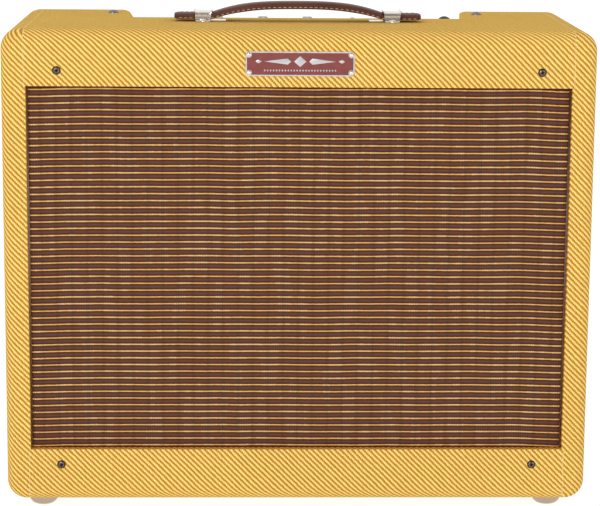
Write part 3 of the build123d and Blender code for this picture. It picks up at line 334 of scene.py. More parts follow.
def grille_weave():
    """Woven speaker cloth: gold threads every 6 mm on a brown ground with maroon lines beside them."""
    s = Shader("grille_weave", Roughness=0.7, Specular_IOR_Level=0.2)
    flat = s.vector(s.x, s.z)
    edge = s.math("SUBTRACT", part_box("grille_cloth")[1].x, s.math("ABSOLUTE", s.x))
    droop = s.times(s.math("SUBTRACT", 1.0, s.step(edge, 0.0, 40 * MM)), 1.0 * MM)
    sway = s.drift(1.3 * MM, 22, 1, s.scaled(1, 1, 0.35))
    jitter = s.drift(0.4 * MM, 420, 1, flat)
    height = s.add(s.z, droop, sway, jitter, GRILLE_SHIFT)
    row = s.math("FRACT", s.times(height, 1 / GRILLE_PITCH))
    ground = s.ramp(
        row,
        (0.0, (206, 168, 84)),
        (0.06, (196, 156, 74)),
        (0.11, (110, 50, 30)),
        (0.17, (62, 16, 16)),
        (0.3, (76, 42, 34)),
        (0.5, (92, 58, 46)),
        (0.7, (78, 44, 36)),
        (0.82, (64, 17, 18)),
        (0.89, (110, 50, 30)),
        (0.94, (196, 156, 74)),
        (1.0, (206, 168, 84)),
    )
    gold = s.math("POWER", s.wave(s.times(row, 2 * pi), "COSINE"), 8.0)
    threads = s.wave(s.times(height, 2 * pi / (0.75 * MM)))
    warp_rib = s.math("FRACT", s.times(s.add(s.x, s.times(sway, 0.6)), 1 / WARP_RIB))
    gap = s.math("POWER", s.wave(s.times(warp_rib, 2 * pi), "COSINE"), 8.0)
    knots = s.wave(s.times(s.x, 2 * pi / (2.1 * MM)))
    warp = s.wave(s.times(s.x, 2 * pi / (0.9 * MM)))
    colour = s.shade(ground, threads, 0.12)
    knotted = s.times(s.times(gold, knots), s.step(s.noise(90, 1, s.scaled(1, 1, 0.2)), 0.48, 0.58))
    colour = s.mix(s.times(knotted, 0.5), colour, (246, 216, 160))
    colour = s.shade(colour, s.math("SUBTRACT", 1.0, gap), 0.09)
    colour = s.shade(colour, s.noise(1100, 2, s.scaled(1, 1, 2.2)), 0.34)
    s.colour(colour)
    s.bump(gold, 0.35 * MM)
    s.bump(s.add(s.times(threads, 0.6), s.times(warp, 0.4)), 0.1 * MM)
    return s.material


def metal(name, colour, rough_low, rough_high, scratch=0.0, tint=None):
    """Plated or bare metal with fine wear in its polish."""
    s = Shader(name, Metallic=1.0)
    cloud = s.noise(60, 4)
    fine = s.noise(900, 3, s.scaled(1, 1, 6))
    worn = tint or tuple(0.86 * c for c in colour)
    s.colour(s.mix(s.times(cloud, 0.5), linear(colour), linear(worn)))
    s.rough(s.add(s.times(cloud, 0.6), s.times(fine, 0.4)), rough_low, rough_high)
    s.bump(fine, 0.01 * MM + scratch)
    return s.material


def dark_screw():
    """Blackened screw with painted shade in its cross recess and under its rim."""
    s = Shader("dark_nickel", Metallic=0.9)
    # Painted shade: within 0.9 mm of the cloth, the recess floor and the foot of the head go near black.
    recess_painted_shade = s.step(s.y, FRONT - 1.3 * MM, FRONT - 0.9 * MM)
    worn = s.ramp(s.noise(300, 3), (0.3, (92, 80, 74)), (0.7, (128, 114, 106)))
    s.colour(s.mix(recess_painted_shade, worn, (26, 17, 13)))
    s.rough(s.noise(600, 2), 0.25, 0.42)
    s.bump(s.noise(900, 2), 0.02 * MM)
    return s.material


def plastic(name, colour, rough_low=0.3, rough_high=0.45, grain=0.02 * MM):
    """Moulded plastic or rubber with a fine mould grain."""
    s = Shader(name, Specular_IOR_Level=0.5)
    cloud = s.noise(90, 4)
    s.colour(s.shade(s.mix(0.0, colour, colour), cloud, 0.16))
    s.rough(cloud, rough_low, rough_high)
    s.bump(s.noise(1500, 2), grain)
    return s.material


def timber(name, light, dark, stretch, rings=34.0):
    """Sawn softwood with its grain along the axis that stretch shortens."""
    s = Shader(name, Roughness=0.68)
    place = s.scaled(*stretch)
    warp = s.noise(6, 2, place)
    band = s.wave(s.add(s.times(warp, rings), s.times(s.noise(30, 2, place), 3.0)))
    fibre = s.noise(700, 3, s.scaled(*[c if c >= 1 else c * 0.4 for c in stretch]))
    between = tuple((a + b) / 2 for a, b in zip(light, dark))
    colour = s.ramp(band, (0.0, light), (0.7, between), (1.0, dark))
    s.colour(s.shade(colour, fibre, 0.14))
    s.bump(s.add(s.times(band, 0.3), fibre), 0.12 * MM)
    return s.material


def leather():
    s = Shader("strap_leather", Specular_IOR_Level=0.35)
    pores = s.cells(1500)
    crease = s.noise(260, 3, s.scaled(1, 0.35, 1))
    colour = s.ramp(s.noise(45, 4), (0.3, (74, 34, 25)), (0.7, (94, 48, 36)))
    s.colour(s.shade(colour, crease, 0.16))
    s.rough(crease, 0.38, 0.6)
    s.bump(pores, 0.08 * MM)
    s.bump(crease, 0.14 * MM)
    return s.material


def glass(name, colour, roughness=0.02, ior=1.5):
    s = Shader(name, Transmission_Weight=1.0, IOR=ior)
    s.colour(s.shade(s.mix(0.0, colour, colour), s.noise(40, 2), 0.04))
    s.rough(s.noise(80, 2), roughness, roughness + 0.05)
    return s.material


def laminated(name, axis, low, high):
    """Black painted transformer: bell ends outside low-high along an axis, bare laminations between them."""
    s = Shader(name, Metallic=0.3)
    along = getattr(s, axis)
    stack = s.times(s.math("GREATER_THAN", along, low), s.math("LESS_THAN", along, high))
    sheet = s.wave(s.times(along, 2 * pi / (0.7 * MM)))
    core = s.shade(s.ramp(s.noise(120, 3), (0.3, (58, 54, 52)), (0.7, (92, 86, 80))), sheet, 0.35)
    paint = s.ramp(s.noise(50, 3), (0.3, (22, 22, 24)), (0.7, (32, 32, 34)))
    s.colour(s.mix(stack, paint, core))
    s.rough(s.noise(200, 2), 0.35, 0.55)
    s.bump(s.times(sheet, stack), 0.12 * MM)
    return s.material


def speaker_radius(s):
    """Distance from the speaker's axis."""
    rise = s.math("SUBTRACT", s.z, SPEAKER_Z)
    return s.math("SQRT", s.add(s.math("POWER", s.x, 2.0), s.math("POWER", rise, 2.0)))


def cone_paper():
    """Pressed paper with rings and fibres, centred on the speaker's axis."""
    s = Shader("cone_paper", Roughness=0.85)
    ring = s.math("POWER", s.wave(s.times(speaker_radius(s), 2 * pi / (11.0 * MM))), 4.0)
    fibre = s.noise(420, 4)
    s.colour(s.shade(s.ramp(s.noise(60, 3), (0.3, (56, 50, 46)), (0.7, (74, 66, 60))), fibre, 0.25))
    s.bump(ring, 0.9 * MM)
    s.bump(fibre, 0.15 * MM)
    return s.material


def ringed_cloth(name, colour, pitch):
    """Impregnated cloth with circular rolls, centred on the speaker's axis."""
    s = Shader(name, Roughness=0.8)
    roll = s.wave(s.times(speaker_radius(s), 2 * pi / pitch))
    weave = s.noise(1200, 2)
    s.colour(s.shade(s.shade(s.mix(0.0, colour, colour), weave, 0.3), roll, 0.12))
    s.bump(roll, 0.8 * MM)
    s.bump(weave, 0.1 * MM)
    return s.material


PINE_LIGHT, PINE_DARK = (228, 192, 138), (196, 146, 88)
MATERIAL = {
    "pine": timber("pine", PINE_LIGHT, PINE_DARK, (1.0, 1.0, 0.06)),
    "pine_along_x": timber("pine_along_x", PINE_LIGHT, PINE_DARK, (0.06, 1.0, 1.0)),
    "plywood": timber("plywood", (214, 178, 126), (190, 150, 98), (0.12, 1.0, 1.0), 20.0),
    "grille_weave": grille_weave(),
    "dark_nickel": dark_screw(),
    "nickel": metal("nickel", (228, 218, 202), 0.1, 0.22),
    "dull_nickel": metal("dull_nickel", (138, 130, 122), 0.25, 0.4),
    # Glide metal: its warm beige is partly the nickel's own tone and partly painted reflection of the gold
    # tweed.
    "satin_metal": metal("satin_metal", (190, 170, 148), 0.14, 0.26),
    "chrome_plate": metal("chrome_plate", (222, 224, 226), 0.06, 0.16),
    "zinc_steel": metal("zinc_steel", (178, 176, 168), 0.3, 0.5, 0.02 * MM, (150, 148, 138)),
    "strap_leather": leather(),
    "black_plastic": plastic("black_plastic", (24, 24, 26)),
    "knob_brown": plastic("knob_brown", (58, 36, 28), 0.18, 0.3),
    "jewel_red": glass("jewel_red", (208, 24, 20), 0.03, 1.55),
    "valve_glass": glass("valve_glass", (244, 248, 246)),
    "electrode_metal": metal("electrode_metal", (92, 92, 94), 0.4, 0.6),
    "getter_mirror": metal("getter_mirror", (198, 200, 206), 0.08, 0.2),
    "mica": plastic("mica", (214, 208, 190), 0.2, 0.35),
    "socket_ceramic": plastic("socket_ceramic", (226, 220, 206), 0.35, 0.5),
    "board_fibre": plastic("board_fibre", (38, 34, 30), 0.5, 0.65, 0.05 * MM),
    "capacitor_yellow": plastic("capacitor_yellow", (214, 170, 46), 0.3, 0.45),
    "gasket_cork": plastic("gasket_cork", (150, 112, 76), 0.8, 0.9, 0.2 * MM),
    "cone_paper": cone_paper(),
    "spider_cloth": ringed_cloth("spider_cloth", (146, 108, 62), 6.5 * MM),
    "coil_former": plastic("coil_former", (150, 96, 52), 0.5, 0.6),
    "magnet_paint": plastic("magnet_paint", (44, 45, 48), 0.35, 0.5, 0.05 * MM),
    "lead_rubber": plastic("lead_rubber", (26, 25, 25), 0.5, 0.62, 0.04 * MM),
    "badge_silver": metal("badge_silver", (206, 206, 206), 0.26, 0.4),
    "thread": plastic("thread", (200, 168, 112), 0.6, 0.75, 0.05 * MM),
    "dial_white": plastic("dial_white", (238, 236, 230), 0.4, 0.5),
    "dial_black": plastic("dial_black", (22, 22, 24), 0.4, 0.5),
}


# ---------------- mesh helpers
def new_mesh(name, work):
    """bmesh to a finished mesh, smooth except at hard edges."""
    bmesh.ops.recalc_face_normals(work, faces=work.faces)
    mesh = bpy.data.meshes.new(name)
    work.to_mesh(mesh)
    work.free()
    mesh.shade_smooth()
    mesh.set_sharp_from_angle(angle=radians(38))
    return mesh


def place(name, mesh, body, slot, material, replaces=()):
    """Object for a bmesh or a finished mesh, riding on a body."""
    if isinstance(mesh, bmesh.types.BMesh):
        mesh = new_mesh(name, mesh)
    piece = bpy.data.objects.new(name, mesh)
    link(piece)
    if not mesh.materials:
        mesh.materials.append(MATERIAL.get(material, material) if isinstance(material, str) else material)
    if body:
        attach(piece, body)
    if replaces:
        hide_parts(*replaces)
    return piece


def weighted(piece):
    """Keep flat faces flat in shading where they meet rounded edges."""
    modifier = piece.modifiers.new("flat", "WEIGHTED_NORMAL")
    modifier.keep_sharp = True
    graph = bpy.context.evaluated_depsgraph_get()
    mesh = bpy.data.meshes.new_from_object(piece.evaluated_get(graph))
    piece.modifiers.clear()
    old = piece.data
    piece.data = mesh
    bpy.data.meshes.remove(old)
    return piece


def softened(node, width=0.35 * MM, segments=2, limit=34.0, material=None, name=None):
    """Copy of a CAD node with its hard edges rounded, standing for the node."""
    work = bmesh.new()
    work.from_mesh(NODES[node].data)
    bmesh.ops.remove_doubles(work, verts=work.verts, dist=0.002 * MM)
    bmesh.ops.dissolve_limit(work, angle_limit=radians(0.7), verts=work.verts, edges=work.edges)
    hard = [e for e in work.edges if len(e.link_faces) == 2 and e.calc_face_angle(0) > radians(limit)]
    if width:
        bmesh.ops.bevel(work, geom=hard, offset=width, offset_type="OFFSET", segments=segments,
                        profile=0.5, affect="EDGES", clamp_overlap=True)
    slot = SLOT_OF[node]
    piece = place(name or node + "_finished", new_mesh(node + "_finished", work), BODY_OF[node], slot,
                  material or slot, [node])
    return weighted(piece)


def lathe(profile, segments=40, work=None, matrix=Matrix.Identity(4)):
    """Closed surface of revolution about Z from (r, z) pairs in mm."""
    work = work or bmesh.new()
    rings = []
    for r, z in profile:
        if r < 1e-4:
            rings.append([work.verts.new(matrix @ Vector((0, 0, z * MM)))])
        else:
            rings.append([
                work.verts.new(matrix @ Vector((r * MM * cos(a), r * MM * sin(a), z * MM)))
                for a in (2 * pi * i / segments for i in range(segments))
            ])
    for low, high in zip(rings, rings[1:]):
        for i in range(segments):
            j = (i + 1) % segments
            corners = [low[i % len(low)], low[j % len(low)], high[j % len(high)], high[i % len(high)]]
            corners = list(dict.fromkeys(corners))
            if len(corners) > 2:
                work.faces.new(corners)
    return work


def dome_points(radius, low, high, count=6):
    """(r, z) pairs over a cap from radius at low up to the axis at high."""
    rise = high - low
    ball = (radius**2 + rise**2) / (2 * rise)
    half = asin(radius / ball)
    return [(ball * sin(half * (1 - i / count)), high - ball + ball * cos(half * (1 - i / count)))
            for i in range(count + 1)]


def upright(origin, direction):
    """Matrix that takes +Z at the origin to direction at origin."""
    turned = Vector((0, 0, 1)).rotation_difference(Vector(direction)).to_matrix().to_4x4()
    return Matrix.Translation(origin) @ turned


def box_into(work, low, high, matrix=Matrix.Identity(4)):
    """Add a closed block to work."""
    corners = [work.verts.new(matrix @ Vector((x, y, z)))
               for z in (low[2], high[2]) for y in (low[1], high[1]) for x in (low[0], high[0])]
    for face in ((0, 2, 3, 1), (4, 5, 7, 6), (0, 1, 5, 4), (2, 6, 7, 3), (0, 4, 6, 2), (1, 3, 7, 5)):
        work.faces.new([corners[i] for i in face])


def tube_grid(work, rings, closed_ends=True):
    """Skin rings of equal length, each a closed loop of points."""
    made = [[work.verts.new(point) for point in ring] for ring in rings]
    for low, high in zip(made, made[1:]):
        count = len(low)
        for i in range(count):
            work.faces.new((low[i], low[(i + 1) % count], high[(i + 1) % count], high[i]))
    if closed_ends:
        work.faces.new(made[0][::-1])
        work.faces.new(made[-1])


def cross_headed(head, shank_r, shank, bit=2.3, depth=1.1, blade=0.42):
    """Screw with a cross recess, head up, seat at Z 0, sizes in mm. head is (r, z) pairs to the axis."""
    profile = [(0, -shank), (shank_r, -shank), (shank_r, 0)] + head
    work = lathe(profile, 40)
    bmesh.ops.recalc_face_normals(work, faces=work.faces)
    screw = bpy.data.objects.new("screw_blank", new_mesh("screw_blank", work))
    cut = bmesh.new()
    top = head[-1][1]
    for angle in (radians(22), radians(112)):
        spin = Matrix.Rotation(angle, 4, "Z")
        outline = [(-bit, 0.4), (bit, 0.4), (bit * 0.45, -depth), (-bit * 0.45, -depth)]
        rings = [[spin @ Vector((x * MM, side * blade * MM, (top + z) * MM)) for x, z in outline]
                 for side in (-1, 1)]
        tube_grid(cut, rings)
    cutter = bpy.data.objects.new("screw_cross", new_mesh("screw_cross", cut))
    for made in (screw, cutter):
        link(made)
    modifier = screw.modifiers.new("cross", "BOOLEAN")
    modifier.object = cutter
    modifier.operation = "DIFFERENCE"
    modifier.solver = "EXACT"
    modifier.use_self = True
    graph = bpy.context.evaluated_depsgraph_get()
    mesh = bpy.data.meshes.new_from_object(screw.evaluated_get(graph))
    for made in (screw, cutter):
        bpy.data.objects.remove(made)
    return mesh


def gather(name, parts, body, slot, material, replaces=()):
    """One piece of several copies of meshes, each with its matrix."""
    work = bmesh.new()
    for mesh, matrix in parts:
        start = len(work.verts)
        work.from_mesh(mesh)
        work.verts.ensure_lookup_table()
        for vert in work.verts[start:]:
            vert.co = matrix @ vert.co
    return place(name, work, body, slot, material, replaces)


def hex_nut(work, seat, direction, across, tall, low_across=None, edge=0.35):
    """Chamfered hexagonal nut in mm, closed round its bolt."""
    small = low_across or across * 0.9
    spin = upright(seat, direction)
    rings = [[spin @ Vector((r * MM * cos(pi / 3 * i), r * MM * sin(pi / 3 * i), h * MM)) for i in range(6)]
             for r, h in ((small, 0), (across, edge), (across, tall - edge), (small, tall))]
    tube_grid(work, rings)


# ---------------- twill covering
CLOTH_EDGE = 0.5 * MM
TURNED_IN = 18 * MM      # cloth folded over the inner side of a back panel
softened("left_side_cloth", CLOTH_EDGE, 3, material=twill("twill_left", side_plan(-1)))
softened("right_side_cloth", CLOTH_EDGE, 3, material=twill("twill_right", side_plan(1)))
softened("top_cloth", CLOTH_EDGE, 3, material=twill("twill_top", top_plan, seam=True))
softened("bottom_cloth", CLOTH_EDGE, 3, material=twill("twill_bottom", bottom_plan, seam=True))
for panel in ("upper_back_panel", "lower_back_panel"):
    cloth = twill("twill_" + panel, back_plan, lining=margin(panel, TURNED_IN))
    softened(panel, CLOTH_EDGE, 3, material=cloth)

# ---------------- grille cloth
CUTOUT_R = 0.14          # speaker cutout in the baffle, which the cloth sinks into


def stretched_cloth(name, low, high, bend, thick, body, material):
    """Sheet pulled over a board's front face and back along its four edges."""
    def run(start, end, steps):
        inward = (end - start) / abs(end - start) * bend
        edge = [(start, high.y), (start, low.y + bend * 3), (start, low.y + bend),
                (start + inward * 0.3, low.y + bend * 0.3)]
        inner = [(start + inward, low.y)]
        half = (start + end) / 2
        inner += [(start + (half - start) * i / steps, low.y) for i in range(1, steps + 1)]
        return edge + inner

    across = run(low.x, high.x, 24) + run(high.x, low.x, 24)[-2::-1]
    up = run(low.z, high.z, 20) + run(high.z, low.z, 20)[-2::-1]
    work = bmesh.new()
    grid = []
    for z, z_depth in up:
        row = []
        for x, x_depth in across:
            reach = hypot(x, z - SPEAKER_Z) / CUTOUT_R
            dent = 0.5 * MM / (1 + reach**6)
            row.append(work.verts.new((x, max(x_depth, z_depth) + dent, z)))
        grid.append(row)
    turned_back = 3
    for j in range(len(up) - 1):
        for i in range(len(across) - 1):
            outer_i = i < turned_back or i >= len(across) - 1 - turned_back
            outer_j = j < turned_back or j >= len(up) - 1 - turned_back
            if not (outer_i and outer_j):
                work.faces.new((grid[j][i], grid[j][i + 1], grid[j + 1][i + 1], grid[j + 1][i]))
    bmesh.ops.delete(work, geom=[v for v in work.verts if not v.link_faces], context="VERTS")
    bmesh.ops.recalc_face_normals(work, faces=work.faces)
    front_faces = sum(f.normal.y * f.calc_area() for f in work.faces)
    if front_faces > 0:
        bmesh.ops.reverse_faces(work, faces=work.faces)
    bmesh.ops.solidify(work, geom=work.faces[:], thickness=thick)
    return place(name, work, body, "grille_weave", material, ["grille_cloth"])


grille_low, grille_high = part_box("grille_cloth")
grille = stretched_cloth("grille_cloth_sheet", grille_low, grille_high, 1.5 * MM, 0.6 * MM,
                         "cabinet", "grille_weave")

# ---------------- badge
badge_low, badge_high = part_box("badge_plate")
BADGE_FACE = badge_low.y + 0.35 * MM


def badge_finish():
    """Nickel rim round a maroon enamel field."""
    s = Shader("badge_finish")
    field = s.math("GREATER_THAN", s.y, BADGE_FACE - 0.08 * MM)
    maroon = s.ramp(s.noise(160, 3), (0.3, (118, 48, 44)), (0.7, (131, 58, 53)))
    silver = s.ramp(s.noise(240, 3), (0.3, (188, 186, 186)), (0.7, (214, 213, 213)))
    s.colour(s.mix(field, silver, maroon))
    s.put(s.surface.inputs["Metallic"], s.times(s.math("SUBTRACT", 1.0, field), 0.85))
    s.rough(s.noise(500, 2), 0.28, 0.4)
    s.bump(s.noise(700, 2), 0.02 * MM)
    return s.material


softened("badge_plate", 0.12 * MM, 2, material=badge_finish())
softened("badge_rivets", 0.1 * MM, 2)


def flat_shape(work, outline, front, thick):
    """Raised ornament: an outline in X and Z, thick towards the front."""
    rings = [[Vector((x * MM, front - d, z * MM)) for x, z in outline] for d in (0, thick * 0.6)]
    centre = sum((Vector((x * MM, 0, z * MM)) for x, z in outline), Vector()) / len(outline)
    taper = 0.86
    inset = [Vector((centre.x + (x * MM - centre.x) * taper, front - thick,
                     centre.z + (z * MM - centre.z) * taper)) for x, z in outline]
    tube_grid(work, rings + [inset])


ornament = bmesh.new()
badge_z = (badge_low.z + badge_high.z) / 2 / MM
LINE_Z, ROW_Z = badge_z + 2.0, badge_z - 5.6
ORNAMENT_T, BEAD_T = 0.3 * MM, 0.25 * MM
diamond = [(-5.2, LINE_Z), (0, LINE_Z + 4.6), (5.2, LINE_Z), (0, LINE_Z - 4.6)]
flat_shape(ornament, diamond, BADGE_FACE, ORNAMENT_T)
for side in (-1, 1):
    for inner, outer, tall in ((7.5, 30.5, 2.6), (32.5, 38.0, 1.6)):
        spear = [(inner, LINE_Z), (inner + 3, LINE_Z + tall), (outer, LINE_Z), (inner + 3, LINE_Z - tall)]
        flat_shape(ornament, [(side * x, z) for x, z in spear], BADGE_FACE, ORNAMENT_T)
BEADS, BEAD_PITCH = 25, 2.5
for i in range(BEADS):
    x = (i - (BEADS - 1) / 2) * BEAD_PITCH
    bead = [(x - 0.8, ROW_Z), (x, ROW_Z + 1.1), (x + 0.8, ROW_Z), (x, ROW_Z - 1.1)]
    flat_shape(ornament, bead, BADGE_FACE, BEAD_T)
place("badge_ornament", ornament, "cabinet", "nickel", "badge_silver",
      ["badge_plate"])

# ---------------- strap handle
strap_low, strap_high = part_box("handle_strap")
STRAP_Y = (strap_low.y + strap_high.y) / 2
STRAP_END = strap_high.x
STRAP_T = 6.4 * MM
STRAP_MID = strap_low.z + STRAP_T / 2
BOW_FOOT, BOW_HEIGHT, BOW_POWER = 77 * MM, 10.0 * MM, 2.8
CLIP_X = 83.5 * MM
CLIP_HALF = 7.6 * MM


def strap_rise(x):
    """How far the strap's middle line stands above its ends at x."""
    rise = BOW_HEIGHT * max(0.0, 1 - (abs(x) / BOW_FOOT) ** BOW_POWER)
    soft = 0.4 * MM
    return sqrt(rise * rise + soft * soft) - soft


def strap_frame(x):
    """Point on the strap's middle line at x, with its direction and its upward normal."""
    step = 0.2 * MM
    slope = (strap_rise(x + step) - strap_rise(x - step)) / (2 * step)
    along = Vector((1, 0, slope)).normalized()
    return Vector((x, STRAP_Y, STRAP_MID + strap_rise(x))), along, Vector((-along.z, 0, along.x))


STRAP_HALF_SECTION = [
    (0, 0), (6, 0), (10.4, 0.03), (11.5, 0.25), (12.0, 0.8), (11.95, 1.4), (11.5, 1.75), (11.35, 2.0),
    (11.5, 2.3), (11.6, 2.9), (11.2, 4.1), (10.1, 5.3), (8.2, 6.0), (5, 6.34), (0, 6.4),
]
STATIONS = 70
STITCH_PITCH = 4.6 * MM
for side, word in ((-1, "left"), (1, "right")):
    work = bmesh.new()
    rings = []
    for i in range(STATIONS + 1):
        x = side * STRAP_END * sin(pi / 2 * i / STATIONS)
        spot, along, up = strap_frame(x)
        past = max(0.0, (abs(x) - (STRAP_END - 6 * MM)) / (6 * MM))
        rolled = max(0.0, min(1.0, (BOW_FOOT - 4 * MM - abs(x)) / (24 * MM)))
        narrow, thin = 1 - 0.2 * past**3, (0.84 + 0.16 * rolled) * (1 - 0.32 * past**4)
        section = STRAP_HALF_SECTION + [(-y, z) for y, z in STRAP_HALF_SECTION[-2:0:-1]]
        rings.append([
            spot + Vector((0, y * MM * narrow, 0)) + up * ((z * MM - STRAP_T / 2) * thin) for y, z in section
        ])
    tube_grid(work, rings)
    strap = place(f"strap_{word}_half", work, None, "strap_leather",
                  "strap_leather", ["handle_strap"])
    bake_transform(strap)
    stitch_work = bmesh.new()
    seams = [(y_side * 11.75, 1.7, 0.0, STRAP_END - 5 * MM) for y_side in (-1, 1)]
    seams += [(9.4, 5.4, CLIP_X + CLIP_HALF, STRAP_END - 4 * MM)]
    for y, z, first, last in seams:
        count = int((last - first) / STITCH_PITCH)
        for i in range(count + 1):
            x = side * (first + (i + 0.5) * STITCH_PITCH)
            if abs(abs(x) - CLIP_X) < CLIP_HALF or abs(x) > last:
                continue
            spot, along, up = strap_frame(x)
            spot = spot + Vector((0, y * MM, 0)) + up * (z * MM - STRAP_T / 2)
            dash = [(0, -1.5), (0.24, -1.35), (0.34, -0.9), (0.34, 0.9), (0.24, 1.35), (0, 1.5)]
            lathe(dash, 8, stitch_work, upright(spot, along))
    stitches = place(f"strap_{word}_stitches", stitch_work, None,
                     "strap_leather", "thread", ["handle_strap"])
    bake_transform(stitches)

# ---------------- strap clips
SHEET = 1.0 * MM
plate_z = strap_low.z + 6.3 * MM + SHEET / 2
foot_z = TOP + SHEET / 2
leg_y = 12.4 * MM + SHEET / 2
half_path = [
    (0, plate_z, 7.7), (6 * MM, plate_z, 7.7), (leg_y - 2.2 * MM, plate_z, 7.7),
    (leg_y - 1.0 * MM, plate_z - 0.3 * MM, 7.6), (leg_y - 0.2 * MM, plate_z - 1.0 * MM, 7.4),
    (leg_y, plate_z - 2.0 * MM, 7.2), (leg_y, plate_z - 3.2 * MM, 7.0), (leg_y, foot_z + 2.6 * MM, 6.8),
    (leg_y + 0.3 * MM, foot_z + 1.2 * MM, 6.6), (leg_y + 1.2 * MM, foot_z + 0.25 * MM, 6.5),
    (leg_y + 2.2 * MM, foot_z, 6.4), (leg_y + 6.0 * MM, foot_z, 6.1), (leg_y + 7.6 * MM, foot_z, 5.2),
    (leg_y + 8.3 * MM, foot_z, 3.6),
]
clip_path = [(-y, z, w) for y, z, w in half_path[:0:-1]] + half_path
clips = bmesh.new()
COLUMNS = 14
for side in (-1, 1):
    shell = bmesh.new()
    rows = []
    for y, z, half in clip_path:
        row = []
        for i in range(COLUMNS + 1):
            u = sin(pi / 2 * (2 * i / COLUMNS - 1))
            top_share = max(0.0, min(1.0, (z - foot_z - 3.0 * MM) / (plate_z - foot_z - 3.0 * MM)))
            lip = 1.9 * MM * top_share**3 * abs(u) ** 9
            crown = 0.35 * MM * (1 - u * u) * top_share
            row.append(shell.verts.new((side * CLIP_X + u * half * MM, STRAP_Y + y, z + lip + crown)))
        rows.append(row)
    for near, far in zip(rows, rows[1:]):
        for i in range(COLUMNS):
            shell.faces.new((near[i], near[i + 1], far[i + 1], far[i]))
    bmesh.ops.recalc_face_normals(shell, faces=shell.faces)
    bmesh.ops.solidify(shell, geom=shell.faces[:], thickness=SHEET * 0.9)
    shell_mesh = new_mesh("clip_shell", shell)
    clips.from_mesh(shell_mesh)
    bpy.data.meshes.remove(shell_mesh)
    inner = sorted((side * (CLIP_X - 3 * MM), side * (CLIP_X - 20 * MM)))
    box_into(clips, (inner[0], STRAP_Y - 8 * MM, TOP + 0.02 * MM),
             (inner[1], STRAP_Y + 8 * MM, TOP + 0.8 * MM))
place("strap_clips", clips, "cabinet", "nickel", "nickel", ["handle_clips"])

# ---------------- screws and bolts
BACKWARD, UPWARD = Vector((0, 1, 0)), Vector((0, 0, 1))
BAFFLE_LOW, BAFFLE_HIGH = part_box("speaker_baffle")
HEIGHT, LEAN = 413.0, 25.0            # cabinet's height, and how much deeper it is at the bottom
BACK_NORMAL = Vector((0, HEIGHT, LEAN)).normalized()
FRONT_SCREW_X = 0.206
front_places = [Vector((x, FRONT, BOTTOM + z * MM))
                for x in (-FRONT_SCREW_X, FRONT_SCREW_X) for z in (33.3, 378.5)]
front_screw = cross_headed([(3.6, 0), (3.6, 0.3), (3.3, 0.8)] + dome_points(3.3, 0.8, 1.7)[1:], 2.0, 26.5,
                           bit=2.4, depth=1.0, blade=0.55)
gather("front_screws", [(front_screw, upright(p, -BACKWARD)) for p in front_places],
       "cabinet", "dark_nickel", "dark_nickel", ["baffle_bolts"])

nuts = bmesh.new()
for p in front_places:
    seat = Vector((p.x, BAFFLE_HIGH.y, p.z))
    nut = [(2.1, 0), (9, 0), (9, 1.2), (4.2, 1.2), (3.6, 1.6), (3.6, 5), (2.1, 5), (2.1, 0)]
    lathe(nut, 32, nuts, upright(seat, BACKWARD))
SPEAKER_BOLT_R = 0.1475
for i in range(4):
    a = radians(45 + 90 * i)
    p = Vector((SPEAKER_BOLT_R * cos(a), BAFFLE_LOW.y, SPEAKER_Z + SPEAKER_BOLT_R * sin(a)))
    bolt = [(0, 0), (5, 0), (5, 2.9), (2.4, 2.9), (2.4, 25.7), (2.0, 26.2), (0, 26.2)]
    lathe(bolt, 32, nuts, upright(p, BACKWARD))
    hex_nut(nuts, p + BACKWARD * 17.8 * MM, BACKWARD, 5.3, 4.0, 4.9, 0.3)
place("baffle_nuts_and_speaker_bolts", nuts, "cabinet", SLOT_OF["baffle_bolts"],
      "zinc_steel", ["baffle_bolts"])

clip_screw = cross_headed([(3.4, 0), (3.25, 0.7)] + dome_points(3.1, 1.0, 2.2), 1.7, 13.0,
                          bit=1.9, depth=0.9)
CLIP_SCREW_Y = 17.4 * MM
clip_seats = [Vector((side * CLIP_X, STRAP_Y + y, TOP + SHEET))
              for side in (-1, 1) for y in (-CLIP_SCREW_Y, CLIP_SCREW_Y)]
cup_and_head = [(5.5, 0), (5.45, 0.35), (4.9, 0.95), (4.0, 1.05)] + dome_points(3.9, 1.1, 2.1)
back_screw = cross_headed(cup_and_head, 1.9, 19.5, bit=2.2, depth=0.9)
upper_low, upper_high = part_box("upper_back_panel")
lower_low, lower_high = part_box("lower_back_panel")
back_x = upper_high.x + 0.8 * MM - 9 * MM
FROM_EDGE = 12 * MM
BACK_HEIGHTS = [upper_low.z + FROM_EDGE, upper_high.z - FROM_EDGE,
                lower_low.z + FROM_EDGE, lower_high.z - FROM_EDGE]


def back_at(z):
    """Y of the back panels' outer face at height z."""
    return lower_high.y + (upper_high.y - lower_high.y) * (z - lower_low.z) / (upper_low.z - lower_low.z)


screws = [(clip_screw, upright(p, UPWARD)) for p in clip_seats]
screws += [(back_screw, upright(Vector((x, back_at(z), z)), BACK_NORMAL))
           for x in (-back_x, back_x) for z in BACK_HEIGHTS]
gather("wood_screws_finished", screws, "cabinet", SLOT_OF["wood_screws"], "nickel", ["wood_screws"])

top_screw = cross_headed([(5.0, 0), (4.95, 0.5), (4.75, 1.0)] + dome_points(4.6, 1.2, 3.0), 2.4, 27.0,
                         bit=2.8, depth=1.3)
TOP_SCREW_X, TOP_SCREW_Y = 167.4 * MM, FRONT + 176 * MM
top_places = [Vector((x, TOP_SCREW_Y, TOP)) for x in (-TOP_SCREW_X, TOP_SCREW_X)]
gather("chassis_top_screws", [(top_screw, upright(p, UPWARD)) for p in top_places],
       "cabinet", SLOT_OF["chassis_bolts"], "dull_nickel", ["chassis_bolts"])

